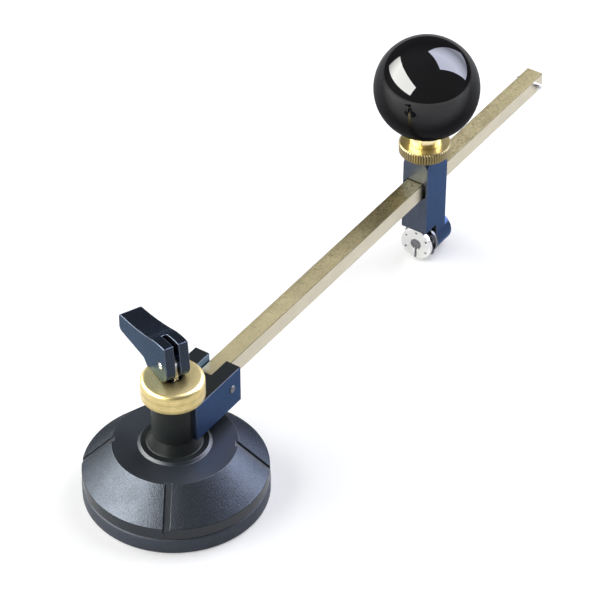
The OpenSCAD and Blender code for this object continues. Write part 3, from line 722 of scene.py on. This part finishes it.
def bar_brass(look):
    """Drawn brass of the bar's top, with an engraved scale, mottled tarnish, and a painted dark reflection
    of the ball that thickens the tarnish towards the holder.
    """
    material = finish("bar_brass", look.bar_brass, roughness=0.38, kind="clouds", size=SCRATCHED,
                      depth=0.006 * MM, tint=0.12, wear=9 * MM)
    tree = material.node_tree
    shader = tree.nodes["Principled BSDF"]
    bright = shader.inputs["Base Color"].links[0].from_socket
    # Tarnish everywhere, laid on thicker near the holder as a painted dark reflection of the ball
    least, growth = 0.2, 0.65
    tarnish_and_reflection_share = math_node(tree, "MULTIPLY_ADD", ball_reflection_near_holder(tree, reach=110 * MM), growth, least)
    patches = marks(tree, "clouds", (1.2 * MM, 0.8 * MM, 0.8 * MM))
    tarnish = math_node(tree, "MULTIPLY", patches, tarnish_and_reflection_share)
    worn = blend_colours(tree, tarnish, bright, tinted(look.bar_tarnish, 1.0))
    peaks = marks(tree, "clouds", (0.9 * MM, 0.7 * MM, 0.7 * MM), centre=X_AXIS)
    spots = math_node(tree, "MULTIPLY", ranged(tree, peaks, (0.68, 0.88)), tarnish_and_reflection_share)
    spotted = blend_colours(tree, spots, worn, tinted(look.bar_tarnish, SPOT_TONE))
    lines = math_node(tree, "MULTIPLY", graduation(tree), LINE_STRENGTH)
    engraved = blend_colours(tree, lines, spotted, tinted(look.bar_tarnish, LINE_TONE))
    tree.links.new(engraved, shader.inputs["Base Color"])
    return material


def bar_side(look):
    """Brass of the bar's sides, made paler as painted light falling on them from the side."""
    return finish("bar_side", look.bar_side, roughness=0.38, kind="clouds", size=SCRATCHED,
                  depth=0.006 * MM, tint=0.1, wear=9 * MM)


def bar_edge(look):
    """Dark brass of the bar's edges, painted shade that keeps their highlight faint."""
    return finish("bar_edge", look.bar_edge, roughness=0.55, kind="clouds",
                  size=(3 * MM, 0.3 * MM, 0.3 * MM), tint=0.25)


def steel(look):
    """Bright turned steel."""
    return finish("steel", look.steel, roughness=0.26, kind="turning", size=even(0.25 * MM),
                  depth=0.004 * MM, tint=0.1)


def dark_steel(look):
    """Blackened steel."""
    return finish("dark_steel", look.dark_steel, roughness=0.38, kind="clouds", size=even(0.5 * MM),
                  depth=0.006 * MM, tint=0.25)


def spring_steel(look):
    """Oiled spring steel, drawn along the wire."""
    return finish("spring_steel", look.steel, roughness=0.32, kind="clouds",
                  size=(0.6 * MM, 0.6 * MM, 0.2 * MM), tint=0.25)


def nickel(look):
    """Bright nickel of the turret's front cheek and hub, faced on a lathe."""
    return finish("nickel", look.nickel, roughness=0.28, kind="turning", size=even(0.2 * MM),
                  centre=middle("front_cheek"), turn=(0.0, math.pi / 2, 0.0), depth=0.006 * MM, tint=0.06)


def wheel_steel(look):
    """Ground steel of the cutting wheels."""
    return finish("wheel_steel", look.wheel_steel, roughness=0.42, kind="clouds", size=even(0.25 * MM),
                  depth=0.004 * MM, tint=0.2)


def bronze(look):
    """Sintered bronze of the sleeve bush."""
    return finish("bronze", look.bronze, roughness=0.45, kind="pebbles", size=even(0.3 * MM),
                  depth=0.02 * MM, tint=0.25)


def resin(look):
    """High gloss black resin of the ball, duller towards its rim and below, where fingers hold it."""
    material = finish("resin", look.resin, roughness=0.3, kind="clouds", size=even(9 * MM), metallic=0.0,
                      spread=0.05, Specular_IOR_Level=0.0, Coat_Roughness=0.03, Coat_IOR=1.6)
    tree = material.node_tree
    facing = place(tree, "ShaderNodeLayerWeight").outputs["Facing"]
    rim_start, rim_end, rim_coat = 0.24, 0.42, 0.25
    polish = ranged(tree, facing, (rim_start, rim_end), (1.0, rim_coat))
    belt, held_coat = middle("ball_knob").z, 0.3
    held = ranged(tree, coordinate(tree, "Z"), (belt - 4 * MM, belt + 8 * MM), (held_coat, 1.0))
    coat = math_node(tree, "MULTIPLY", polish, held)
    tree.links.new(coat, tree.nodes["Principled BSDF"].inputs["Coat Weight"])
    return material


FINISHES = {
    made.__name__: made
    for made in (
        rubber, panel_enamel, disc_enamel, skirt_enamel, column_enamel, foot_enamel, lacquer,
        lever_lacquer, front_lacquer, rubbed_lacquer, cap_brass, ferrule_brass, ring_brass, bar_brass,
        bar_side, bar_edge, steel, dark_steel, spring_steel, nickel, wheel_steel, bronze, resin)
}


# Pieces

def make_suction_pad(base):
    """A rim that stays on the housing and a domed membrane under the pull plate."""
    outer, top = high("suction_pad").x, high("suction_pad").z
    lip = outer - base.pad_edge - base.pad_lip
    rim_in = high("base_housing").x - base.pad_rim
    web_top = low("pull_plate").z

    def hollow(radius):
        """Height of the hollow at a radius."""
        return base.pad_hollow * (1 - (radius / lip) ** 2)

    rim = turned("pad_rim", [
        (rim_in, hollow(rim_in)), (lip, 0, base.lip_edge), (outer, 0, base.pad_edge),
        (outer, top, base.pad_edge), (rim_in, top)], steps=192)
    dome_steps = 12
    dome_radii = [rim_in * i / dome_steps for i in range(dome_steps + 1)]
    dome = [(radius, hollow(radius)) for radius in dome_radii]
    membrane = turned("pad_membrane", [*dome, (rim_in, web_top), (0, web_top)], steps=96)
    for piece in (rim, membrane):
        paint(piece, "rubber")
        settle(piece, "base", "rubber", "suction_pad")
    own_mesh(membrane)


def cut_grooves(housing, base, slope, cone_top, cone_length):
    """Cut the radial grooves into the cone, with blocks that stand out of it."""
    for i in range(GROOVE_COUNT):
        turn = base.groove_turn + i * math.tau / GROOVE_COUNT
        out = Vector((math.cos(turn), math.sin(turn), 0))
        along = out * math.cos(slope) - Z_AXIS * math.sin(slope)
        up = out * math.sin(slope) + Z_AXIS * math.cos(slope)
        height = 4 * base.groove_depth
        centre = out * base.disc_radius + Z_AXIS * cone_top
        centre += along * (cone_length / 2) + up * (height / 2 - base.groove_depth)
        size = cone_length + base.groove_width, base.groove_width, height
        cut_away(housing, centre, size, rotation=(0, slope, turn))


def make_base_housing(base):
    """A turned bell with a grooved cone, in grained, satin and glossy enamel."""
    foot, top = low("base_housing").z, high("base_housing").z
    outer = high("base_housing").x
    skirt, disc = foot + base.skirt_height, base.disc_height
    run, rise = outer - base.disc_radius, disc - skirt
    slope = math.atan2(rise, run)
    rim_in = outer - base.pad_rim
    inner = outer - base.wall / math.sin(slope)
    roof = disc - base.roof
    bore = high("centre_post").x
    foot_top = disc + base.foot_height
    housing = turned("housing_bell", [
        (bore, roof), (inner - (roof - skirt) / math.tan(slope), roof, base.inner_edge),
        (rim_in, skirt + (inner - rim_in) * math.tan(slope), base.inner_edge),
        (rim_in, foot, base.rim_edge), (outer, foot, base.edge), (outer, skirt, base.edge),
        (base.disc_radius, disc, base.edge / 2), (base.foot_radius, disc),
        (base.foot_radius - base.foot_bevel, foot_top, base.rim_edge),
        (base.neck_radius + base.neck_taper, foot_top, base.foot_fillet, FILLET_STEPS),
        (base.neck_radius, top, base.neck_edge), (bore, top, base.neck_edge)], steps=192)
    cut_grooves(housing, base, slope, disc, math.hypot(run, rise))
    coats = "disc_enamel", "panel_enamel", "column_enamel", "skirt_enamel", "foot_enamel"
    paint(housing, *coats)
    soften(housing, base.edge / 4)

    def coat_of(face):
        """The coat of a face, by its place and slope."""
        radius, height = math.hypot(face.center.x, face.center.y), face.center.z
        line = disc - (radius - base.disc_radius) * math.tan(slope)
        sloped = abs(face.normal.z - math.cos(slope)) < LEVEL
        if sloped and abs(height - line) < base.groove_depth / 2:
            return "panel_enamel"
        if height > disc + base.edge / 4:
            return "column_enamel" if radius < base.foot_radius - base.foot_bevel else "foot_enamel"
        return "skirt_enamel" if height < skirt + base.edge / 4 else "disc_enamel"

    for face in housing.data.polygons:
        face.material_index = coats.index(coat_of(face))
    settle(housing, "base", "textured_housing", "base_housing")


def make_brass_cap(base):
    """A turned cap with a rounded top edge."""
    foot, top, outer = low("brass_cap").z, high("brass_cap").z, high("brass_cap").x
    post, post_top = high("centre_post").x, high("centre_post").z
    hole = high("pull_rod").x + base.rod_gap
    cap = turned("turned_cap", [
        (post, foot, base.neck_edge), (post, post_top), (hole, post_top), (hole, top, base.hole_edge),
        (outer, top, base.cap_edge, CAP_STEPS), (outer, foot, base.cap_bevel)], steps=160)
    paint(cap, "cap_brass")
    settle(cap, "base", "polished_brass", "brass_cap")


def make_pin(node, axis, half, coat, arm):
    """A pin with rounded ends and a shallow dimple in each."""
    radius, dimple = half_size(node).z, arm.dimple
    pin = turned(node + "_turned", [
        (0, -half + dimple / 2), (dimple, -half), (radius, -half, arm.pin_edge),
        (radius, half, arm.pin_edge), (dimple, half), (0, half - dimple / 2)],
        centre=middle(node), axis=axis, steps=48)
    paint(pin, coat)
    return pin


def make_cam_lever(arm):
    """The forked lever, its pin and the rod whose tongue it turns on."""
    lever = softened_copy("cam_lever", arm.lever_edge, "lever_lacquer", "rubbed_lacquer")
    settle(lever, "lever", "blue_black_lacquer", "cam_lever")
    across = Vector(joint("lever_turn")["axis"])
    half = (high("lever_pin").x - half_size("lever_pin").z * abs(across.y)) / abs(across.x)
    pin = make_pin("lever_pin", across, half, "steel", arm)
    settle(pin, "lever", "bright_steel", "lever_pin")
    rod = softened_copy("pull_rod", arm.rod_edge, "steel")
    settle(rod, "rod", "bright_steel", "pull_rod")


def make_arm_bracket(arm):
    """The bracket with its fork, black on its hub, its tops black as painted shade, and the hinge pin of
    the bar.
    """
    coats = "lacquer", "column_enamel", "rubbed_lacquer"
    bracket = softened_copy("arm_bracket", arm.block_edge, *coats)
    hub = -low("arm_bracket").x
    # The hub's black coat ends where the block grows out of it
    coat_end = 0.8 * hub
    for face in bracket.data.polygons:
        on_hub = math.hypot(face.center.x, face.center.y) < hub + arm.block_edge
        # Upward faces take the black enamel: painted shade on the tops
        on_top = face.normal.z > math.cos(SHARP)
        if on_top or (on_hub and face.center.x < coat_end):
            face.material_index = coats.index("column_enamel")
    settle(bracket, "arm", "blue_black_lacquer", "arm_bracket")
    pin = make_pin("bar_pin", Y_AXIS, high("bar_pin").y, "dark_steel", arm)
    settle(pin, "arm", "dark_steel", "bar_pin")


def make_square_bar(arm):
    """The bar with its scale, and the stop pin near its end."""
    coats = "bar_brass", "bar_side", "bar_edge"
    bar = softened_copy("square_bar", arm.bar_edge, *coats)
    for face in bar.data.polygons:
        across, upright = abs(face.normal.y), abs(face.normal.z)
        # Side faces take paler brass than the top: painted light from the side
        coat = "bar_side" if across > upright else "bar_brass"
        # The bevels take dark brass: painted shade over their highlight
        if min(across, upright) > LEVEL:
            coat = "bar_edge"
        face.material_index = coats.index(coat)
    settle(bar, "bar", "drawn_brass", "square_bar")
    pin = make_pin("stop_pin", Y_AXIS, high("stop_pin").y, "steel", arm)
    settle(pin, "bar", "bright_steel", "stop_pin")


def make_cutter_holder(arm):
    """The holder with its face painted greyer as a painted reflection, and the screw that carries the
    turret.
    """
    coats = "lacquer", "front_lacquer", "rubbed_lacquer"
    holder = softened_copy("cutter_holder", arm.block_edge, *coats)
    for face in holder.data.polygons:
        # Faces turned to -X take the greyer lacquer: a painted reflection
        if face.normal.x < -math.cos(SHARP):
            face.material_index = coats.index("front_lacquer")
    settle(holder, "carriage", "blue_black_lacquer", "cutter_holder")
    screw = softened_copy("turret_screw", arm.screw_edge, "dark_steel")
    settle(screw, "carriage", "dark_steel", "turret_screw")


def cut_knurl(ring, knob, centre):
    """Press one column of the ring's rim inwards for each groove."""
    outer = knob.ring_radius
    select_only(ring)
    bpy.ops.object.mode_set(mode="EDIT")
    bpy.ops.mesh.select_all(action="DESELECT")
    mesh = bmesh.from_edit_mesh(ring.data)
    pitch = math.tau / knob.knurl_count
    for vertex in mesh.verts:
        offset = vertex.co - centre
        turn = math.atan2(offset.y, offset.x) / pitch
        on_rim = math.hypot(offset.x, offset.y) > outer - knob.knurl_depth
        vertex.select = on_rim and abs(turn - round(turn)) < 0.5 / KNURL_COLUMNS
    mesh.select_flush(True)
    bmesh.update_edit_mesh(ring.data)
    shrink = (outer - knob.knurl_depth) / outer
    bpy.ops.transform.resize(value=(shrink, shrink, 1), center_override=centre)
    bpy.ops.object.mode_set(mode="OBJECT")
    smooth(ring)


def make_ball(knob):
    """A ball with a flat for the ferrule and a hole for the stud."""
    flat, top = low("ball_knob").z, high("ball_knob").z
    radius, stud = half_size("ball_knob").x, half_size("clamp_stud").x
    centre = Vector((middle("ball_knob").x, 0, top - radius))
    clear_selection()
    bpy.ops.mesh.primitive_uv_sphere_add(segments=128, ring_count=64, radius=radius, location=centre,
                                         enter_editmode=True)
    ball = bpy.context.object
    ball.name = ball.data.name = "ball"
    bpy.ops.mesh.select_all(action="SELECT")
    bpy.ops.mesh.bisect(plane_co=(centre.x, 0, flat), plane_no=(0, 0, 1), use_fill=True, clear_inner=True)
    bpy.ops.mesh.select_mode(type="FACE")
    flat_radius = math.sqrt(radius ** 2 - (centre.z - flat) ** 2)
    bpy.ops.mesh.inset(thickness=flat_radius - stud)
    bpy.ops.mesh.extrude_region_move(TRANSFORM_OT_translate={"value": (0, 0, knob.stud_depth)})
    bpy.ops.mesh.select_all(action="SELECT")
    bpy.ops.mesh.normals_make_consistent(inside=False)
    bpy.ops.mesh.select_mode(type="VERT")
    bpy.ops.object.mode_set(mode="OBJECT")
    bpy.ops.object.transform_apply(location=True, rotation=True, scale=True)
    smooth(ball)
    return ball


def make_ball_knob(knob):
    """The knurled ring, the polished ferrule and the ball."""
    stud, outer = half_size("clamp_stud").x, knob.ring_radius
    axis = Vector((middle("clamp_stud").x, 0, 0))
    foot, top = low("knurled_ring").z, high("knurled_ring").z
    ring = turned("ring", [
        (stud, foot), (outer - knob.ring_edge, foot), (outer, foot + knob.ring_edge),
        (outer, top - knob.ring_edge), (outer - knob.ring_edge, top), (stud, top)],
        centre=axis, steps=KNURL_COLUMNS * knob.knurl_count)
    cut_knurl(ring, knob, axis)
    paint(ring, "ring_brass", "cap_brass")
    for face in ring.data.polygons:
        face.material_index = int(face.normal.z > math.cos(SHARP))
    settle(ring, "knob", "knurled_brass", "knurled_ring")
    foot, top = low("knob_ferrule").z, high("knob_ferrule").z
    outer = half_size("knob_ferrule").x
    ferrule = turned("ferrule", [
        (stud, foot), (outer, foot, knob.ferrule_edge), (outer, top, knob.ferrule_edge), (stud, top)],
        centre=axis, steps=96)
    paint(ferrule, "ferrule_brass")
    settle(ferrule, "knob", "polished_brass", "knob_ferrule")
    ball = make_ball(knob)
    paint(ball, "resin")
    settle(ball, "knob", "ball_resin", "ball_knob")


def make_wheels(knob):
    """One cutting wheel, copied to the other axles."""
    first = "cutting_wheel_1"
    radius, half = half_size(first).z, half_size(first).x
    bore, hub, edge = knob.axle_radius + RUN_GAP, knob.wheel_hub, knob.wheel_edge
    rim = knob.wheel_rim / 2
    land = radius - knob.wheel_bevel
    wheel = turned("wheel_1", [
        (bore, -half), (hub, -half, edge), (hub, -rim), (land, -rim, edge), (radius, 0),
        (land, rim, edge), (hub, rim), (hub, half, edge), (bore, half)],
        centre=middle(first), axis=X_AXIS, steps=64)
    paint(wheel, "wheel_steel")
    wheels = [wheel]
    for i in range(2, WHEEL_COUNT + 1):
        shift = middle(f"cutting_wheel_{i}") - middle(first)
        wheels.append(copied(wheel, f"wheel_{i}", shift))
    for i, piece in enumerate(wheels, 1):
        settle(piece, f"wheel_{i}", "wheel_steel", f"cutting_wheel_{i}")


def make_axles(knob):
    """One axle with rounded ends, copied round the turret and joined."""
    radius, half = knob.axle_radius, half_size("wheel_axles").x
    hub = middle("front_cheek").z
    circle = high("wheel_axles").z - hub - radius
    centres = []
    for i in range(WHEEL_COUNT):
        turn = i * math.tau / WHEEL_COUNT
        out = Y_AXIS * math.sin(turn) + Z_AXIS * math.cos(turn)
        centres.append(X_AXIS * middle("wheel_axles").x + Z_AXIS * hub + out * circle)
    outline = [(0, -half), (radius, -half, knob.axle_edge), (radius, half, knob.axle_edge), (0, half)]
    axles = [turned("axles", outline, centre=centres[0], axis=X_AXIS, steps=24)]
    for i, centre in enumerate(centres[1:], 2):
        axles.append(copied(axles[0], f"axle_{i}", centre - centres[0]))
    select_only(axles[0])
    for axle in axles:
        axle.select_set(True)
    bpy.ops.object.join()
    paint(axles[0], "dark_steel")
    settle(axles[0], "turret", "dark_steel", "wheel_axles")


def make_front_cheek(knob):
    """The front cheek, with a dark line from the screw down to the rim, at the wheel that is at work."""
    front, rim, hub = low("front_cheek").x, low("front_cheek").z, middle("front_cheek").z
    cheek = merged_copy("front_cheek")
    cut_away(cheek, (front, 0, rim), (2 * knob.mark_depth, knob.mark_width, 2 * (hub - rim)))
    paint(cheek, "nickel", "dark_steel")
    soften(cheek, knob.cheek_edge)
    # The line's floor and the lower half of its walls are dark, with a little to spare
    half_width, shallow, deep = 0.51 * knob.mark_width, 0.5 * knob.mark_depth, 1.1 * knob.mark_depth
    for face in cheek.data.polygons:
        inside = abs(face.center.y) < half_width and face.center.z < hub
        face.material_index = int(inside and shallow < face.center.x - front < deep)
    settle(cheek, "turret", "turret_steel", "front_cheek")


def make_wheel_turret(knob):
    """The two cheeks, the axles and the six cutting wheels."""
    make_front_cheek(knob)
    rear = softened_copy("rear_cheek", knob.cheek_edge, "dark_steel")
    settle(rear, "turret", "dark_steel", "rear_cheek")
    make_axles(knob)
    make_wheels(knob)


def make_release_spring(knob):
    """A round wire wound from the pull plate up to the roof."""
    foot, top = low("release_spring").z, high("release_spring").z
    wire = knob.spring_wire / 2
    coil = high("release_spring").x - wire
    clear_selection()
    bpy.ops.mesh.primitive_circle_add(vertices=WIRE_SIDES, radius=wire, location=(coil, 0, foot + wire),
                                      rotation=(math.pi / 2, 0, 0))
    spring = bpy.context.object
    spring.name = spring.data.name = "wound_spring"
    bpy.ops.object.transform_apply(location=True, rotation=True, scale=True)
    steps = int(TURN_STEPS * knob.spring_turns)
    apply_modifier(spring, "SCREW", axis="Z", angle=math.tau * knob.spring_turns, steps=steps,
                   render_steps=steps, screw_offset=top - foot - 2 * wire)
    bpy.ops.object.mode_set(mode="EDIT")
    bpy.ops.mesh.select_all(action="SELECT")
    bpy.ops.mesh.remove_doubles(threshold=MERGE)
    bpy.ops.mesh.fill_holes(sides=WIRE_SIDES)
    bpy.ops.mesh.select_all(action="SELECT")
    bpy.ops.mesh.normals_make_consistent(inside=False)
    bpy.ops.object.mode_set(mode="OBJECT")
    smooth(spring)
    paint(spring, "spring_steel")
    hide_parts("release_spring")
    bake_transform(spring)


INNER_FINISHES = {
    "centre_post": "steel", "thrust_washer": "steel", "pull_plate": "dark_steel",
    "rod_nut": "dark_steel", "sleeve_bush": "bronze", "clamp_pad": "cap_brass",
    "clamp_stud": "steel", "spring_washer": "spring_steel", "turret_hub": "nickel",
}


def finish_inner_parts():
    """Give the pieces inside the finish that they have."""
    for node, name in INNER_FINISHES.items():
        frame["nodes"][node].material_slots[0].material = finish_of(name)


# Stage

def direction(azimuth, elevation):
    """The way to a light or the camera. Azimuth 0 looks along +Y."""
    level = math.cos(elevation)
    return Vector((math.sin(azimuth) * level, -math.cos(azimuth) * level, math.sin(elevation)))


def soft_light(name, stage):
    """A rectangular lamp with a brightness on dull surfaces and another in reflections."""

    def setting(key):
        """A setting of this lamp."""
        return getattr(stage, f"{name}_{key}")

    way = direction(setting("azimuth"), setting("elevation"))
    width, height = setting("size")
    tint = setting("tint")
    for kind, distance in (("fill", LAMP_DISTANCE + LAMP_GAP), ("gleam", LAMP_DISTANCE)):
        clear_selection()
        bpy.ops.object.light_add(type="AREA", location=middle("ball_knob") + way * distance,
                                 rotation=way.to_track_quat("Z", "Y").to_euler())
        lamp = bpy.context.object
        lamp.name = f"{name}_{kind}"
        lamp.data.shape = "RECTANGLE"
        lamp.data.size, lamp.data.size_y = width, height
        lamp.data.energy = setting(kind) * math.pi * width * height
        lamp.data.color = tint if kind == "gleam" else [(1 + part) / 2 for part in tint]
        lamp.visible_diffuse = kind == "fill"
        lamp.visible_glossy = kind == "gleam"


def make_floor(stage):
    """A wide pale floor that shows white to the camera and to metal, and keeps the shadow."""
    clear_selection()
    bpy.ops.mesh.primitive_plane_add(size=stage.floor_size)
    floor = bpy.context.object
    floor.name = "floor"
    material = bpy.data.materials.new("pale_floor")
    material.use_nodes = True
    tree = material.node_tree
    tree.nodes.clear()
    path = place(tree, "ShaderNodeLightPath")
    seen = math_node(tree, "MAXIMUM", path.outputs["Is Camera Ray"], path.outputs["Is Glossy Ray"])
    seen = math_node(tree, "MAXIMUM", seen, path.outputs["Is Transmission Ray"])
    coordinates = place(tree, "ShaderNodeTexCoord")
    radius = place(tree, "ShaderNodeVectorMath", {0: coordinates.outputs["Object"]}, operation="LENGTH")
    reach = stage.floor_near, stage.floor_far
    white = ranged(tree, radius.outputs["Value"], reach, (stage.floor_white, 1.0))
    glow = place(tree, "ShaderNodeEmission", {"Strength": math_node(tree, "MULTIPLY", seen, white)})
    matt = place(tree, "ShaderNodeBsdfDiffuse", {"Color": tinted(even(1.0), stage.floor_tone)})
    both = place(tree, "ShaderNodeAddShader", {0: matt.outputs[0], 1: glow.outputs[0]})
    place(tree, "ShaderNodeOutputMaterial", {"Surface": both.outputs[0]})
    floor.data.materials.append(material)


def make_stage(stage):
    """The camera, two soft lights, a dim room and the floor."""
    way = direction(stage.azimuth, stage.elevation)
    clear_selection()
    bpy.ops.object.camera_add(location=Vector(stage.target) + way * stage.distance,
                              rotation=way.to_track_quat("Z", "Y").to_euler())
    camera = bpy.context.object
    camera.data.lens = stage.lens
    camera.data.sensor_width = stage.sensor
    scene = bpy.context.scene
    scene.camera = camera
    scene.view_settings.view_transform = "Standard"
    soft_light("window", stage)
    soft_light("strip", stage)
    world = bpy.data.worlds.new("dim_room")
    scene.world = world
    world.use_nodes = True
    background = world.node_tree.nodes["Background"]
    background.inputs["Color"].default_value = (1.0, 1.0, 1.0, 1.0)
    background.inputs["Strength"].default_value = stage.world_level
    make_floor(stage)


# Operators

class SuctionPad(bpy.types.Operator):
    """Model the rubber suction pad"""

    bl_idname = "cutter.suction_pad"
    bl_label = "Suction pad"

    def execute(self, context):
        make_suction_pad(context.scene.cutter_base)
        return {"FINISHED"}


class BaseHousing(bpy.types.Operator):
    """Model the grooved base housing"""

    bl_idname = "cutter.base_housing"
    bl_label = "Base housing"

    def execute(self, context):
        make_base_housing(context.scene.cutter_base)
        return {"FINISHED"}


class BrassCap(bpy.types.Operator):
    """Model the turned brass cap"""

    bl_idname = "cutter.brass_cap"
    bl_label = "Brass cap"

    def execute(self, context):
        make_brass_cap(context.scene.cutter_base)
        return {"FINISHED"}


class ReleaseSpring(bpy.types.Operator):
    """Model the wound release spring"""

    bl_idname = "cutter.release_spring"
    bl_label = "Release spring"

    def execute(self, context):
        make_release_spring(context.scene.cutter_knob)
        return {"FINISHED"}


class CamLever(bpy.types.Operator):
    """Model the cam lever, its pin and the pull rod"""

    bl_idname = "cutter.cam_lever"
    bl_label = "Cam lever"

    def execute(self, context):
        make_cam_lever(context.scene.cutter_arm)
        return {"FINISHED"}


class ArmBracket(bpy.types.Operator):
    """Model the arm bracket and its hinge pin"""

    bl_idname = "cutter.arm_bracket"
    bl_label = "Arm bracket"

    def execute(self, context):
        make_arm_bracket(context.scene.cutter_arm)
        return {"FINISHED"}


class SquareBar(bpy.types.Operator):
    """Model the graduated bar and its stop pin"""

    bl_idname = "cutter.square_bar"
    bl_label = "Square bar"

    def execute(self, context):
        make_square_bar(context.scene.cutter_arm)
        return {"FINISHED"}


class CutterHolder(bpy.types.Operator):
    """Model the cutter holder and the turret's screw"""

    bl_idname = "cutter.cutter_holder"
    bl_label = "Cutter holder"

    def execute(self, context):
        make_cutter_holder(context.scene.cutter_arm)
        return {"FINISHED"}


class BallKnob(bpy.types.Operator):
    """Model the knurled ring, the ferrule and the ball"""

    bl_idname = "cutter.ball_knob"
    bl_label = "Ball knob"

    def execute(self, context):
        make_ball_knob(context.scene.cutter_knob)
        return {"FINISHED"}


class WheelTurret(bpy.types.Operator):
    """Model the turret with its six cutting wheels"""

    bl_idname = "cutter.wheel_turret"
    bl_label = "Wheel turret"

    def execute(self, context):
        make_wheel_turret(context.scene.cutter_knob)
        return {"FINISHED"}


class InnerParts(bpy.types.Operator):
    """Finish the pieces inside"""

    bl_idname = "cutter.inner_parts"
    bl_label = "Inner parts"

    def execute(self, context):
        finish_inner_parts()
        return {"FINISHED"}


class Stage(bpy.types.Operator):
    """Set up the camera, the lights and the floor"""

    bl_idname = "cutter.stage"
    bl_label = "Stage"

    def execute(self, context):
        make_stage(context.scene.cutter_stage)
        return {"FINISHED"}


OPERATORS = (SuctionPad, BaseHousing, BrassCap, ReleaseSpring, CamLever, ArmBracket, SquareBar,
             CutterHolder, BallKnob, WheelTurret, InnerParts, Stage)
SETTINGS = {
    "cutter_base": BaseSettings,
    "cutter_arm": ArmSettings,
    "cutter_knob": KnobSettings,
    "cutter_finish": FinishSettings,
    "cutter_stage": StageSettings,
}


class CutterPanel(bpy.types.Panel):
    """Lists the pieces and their settings"""

    bl_idname = "VIEW3D_PT_circle_cutter"
    bl_label = "Glass circle cutter"
    bl_space_type = "VIEW_3D"
    bl_region_type = "UI"
    bl_category = "Cutter"

    def draw(self, context):
        for operator in OPERATORS:
            self.layout.operator(operator.bl_idname)
        for name, group in SETTINGS.items():
            box = self.layout.box()
            for key in group.__annotations__:
                box.prop(getattr(context.scene, name), key)


def register():
    """Register the settings, the operators and the panel."""
    for made in (*SETTINGS.values(), *OPERATORS, CutterPanel):
        bpy.utils.register_class(made)
    for name, group in SETTINGS.items():
        setattr(bpy.types.Scene, name, PointerProperty(type=group))


def unregister():
    """Take the classes and the settings out again."""
    for name in SETTINGS:
        delattr(bpy.types.Scene, name)
    for made in reversed((*SETTINGS.values(), *OPERATORS, CutterPanel)):
        bpy.utils.unregister_class(made)


def main():
    """Build every piece in order."""
    register()
    for operator in OPERATORS:
        getattr(bpy.ops.cutter, operator.bl_idname.split(".")[1])()


if __name__ == "__main__":
    main()
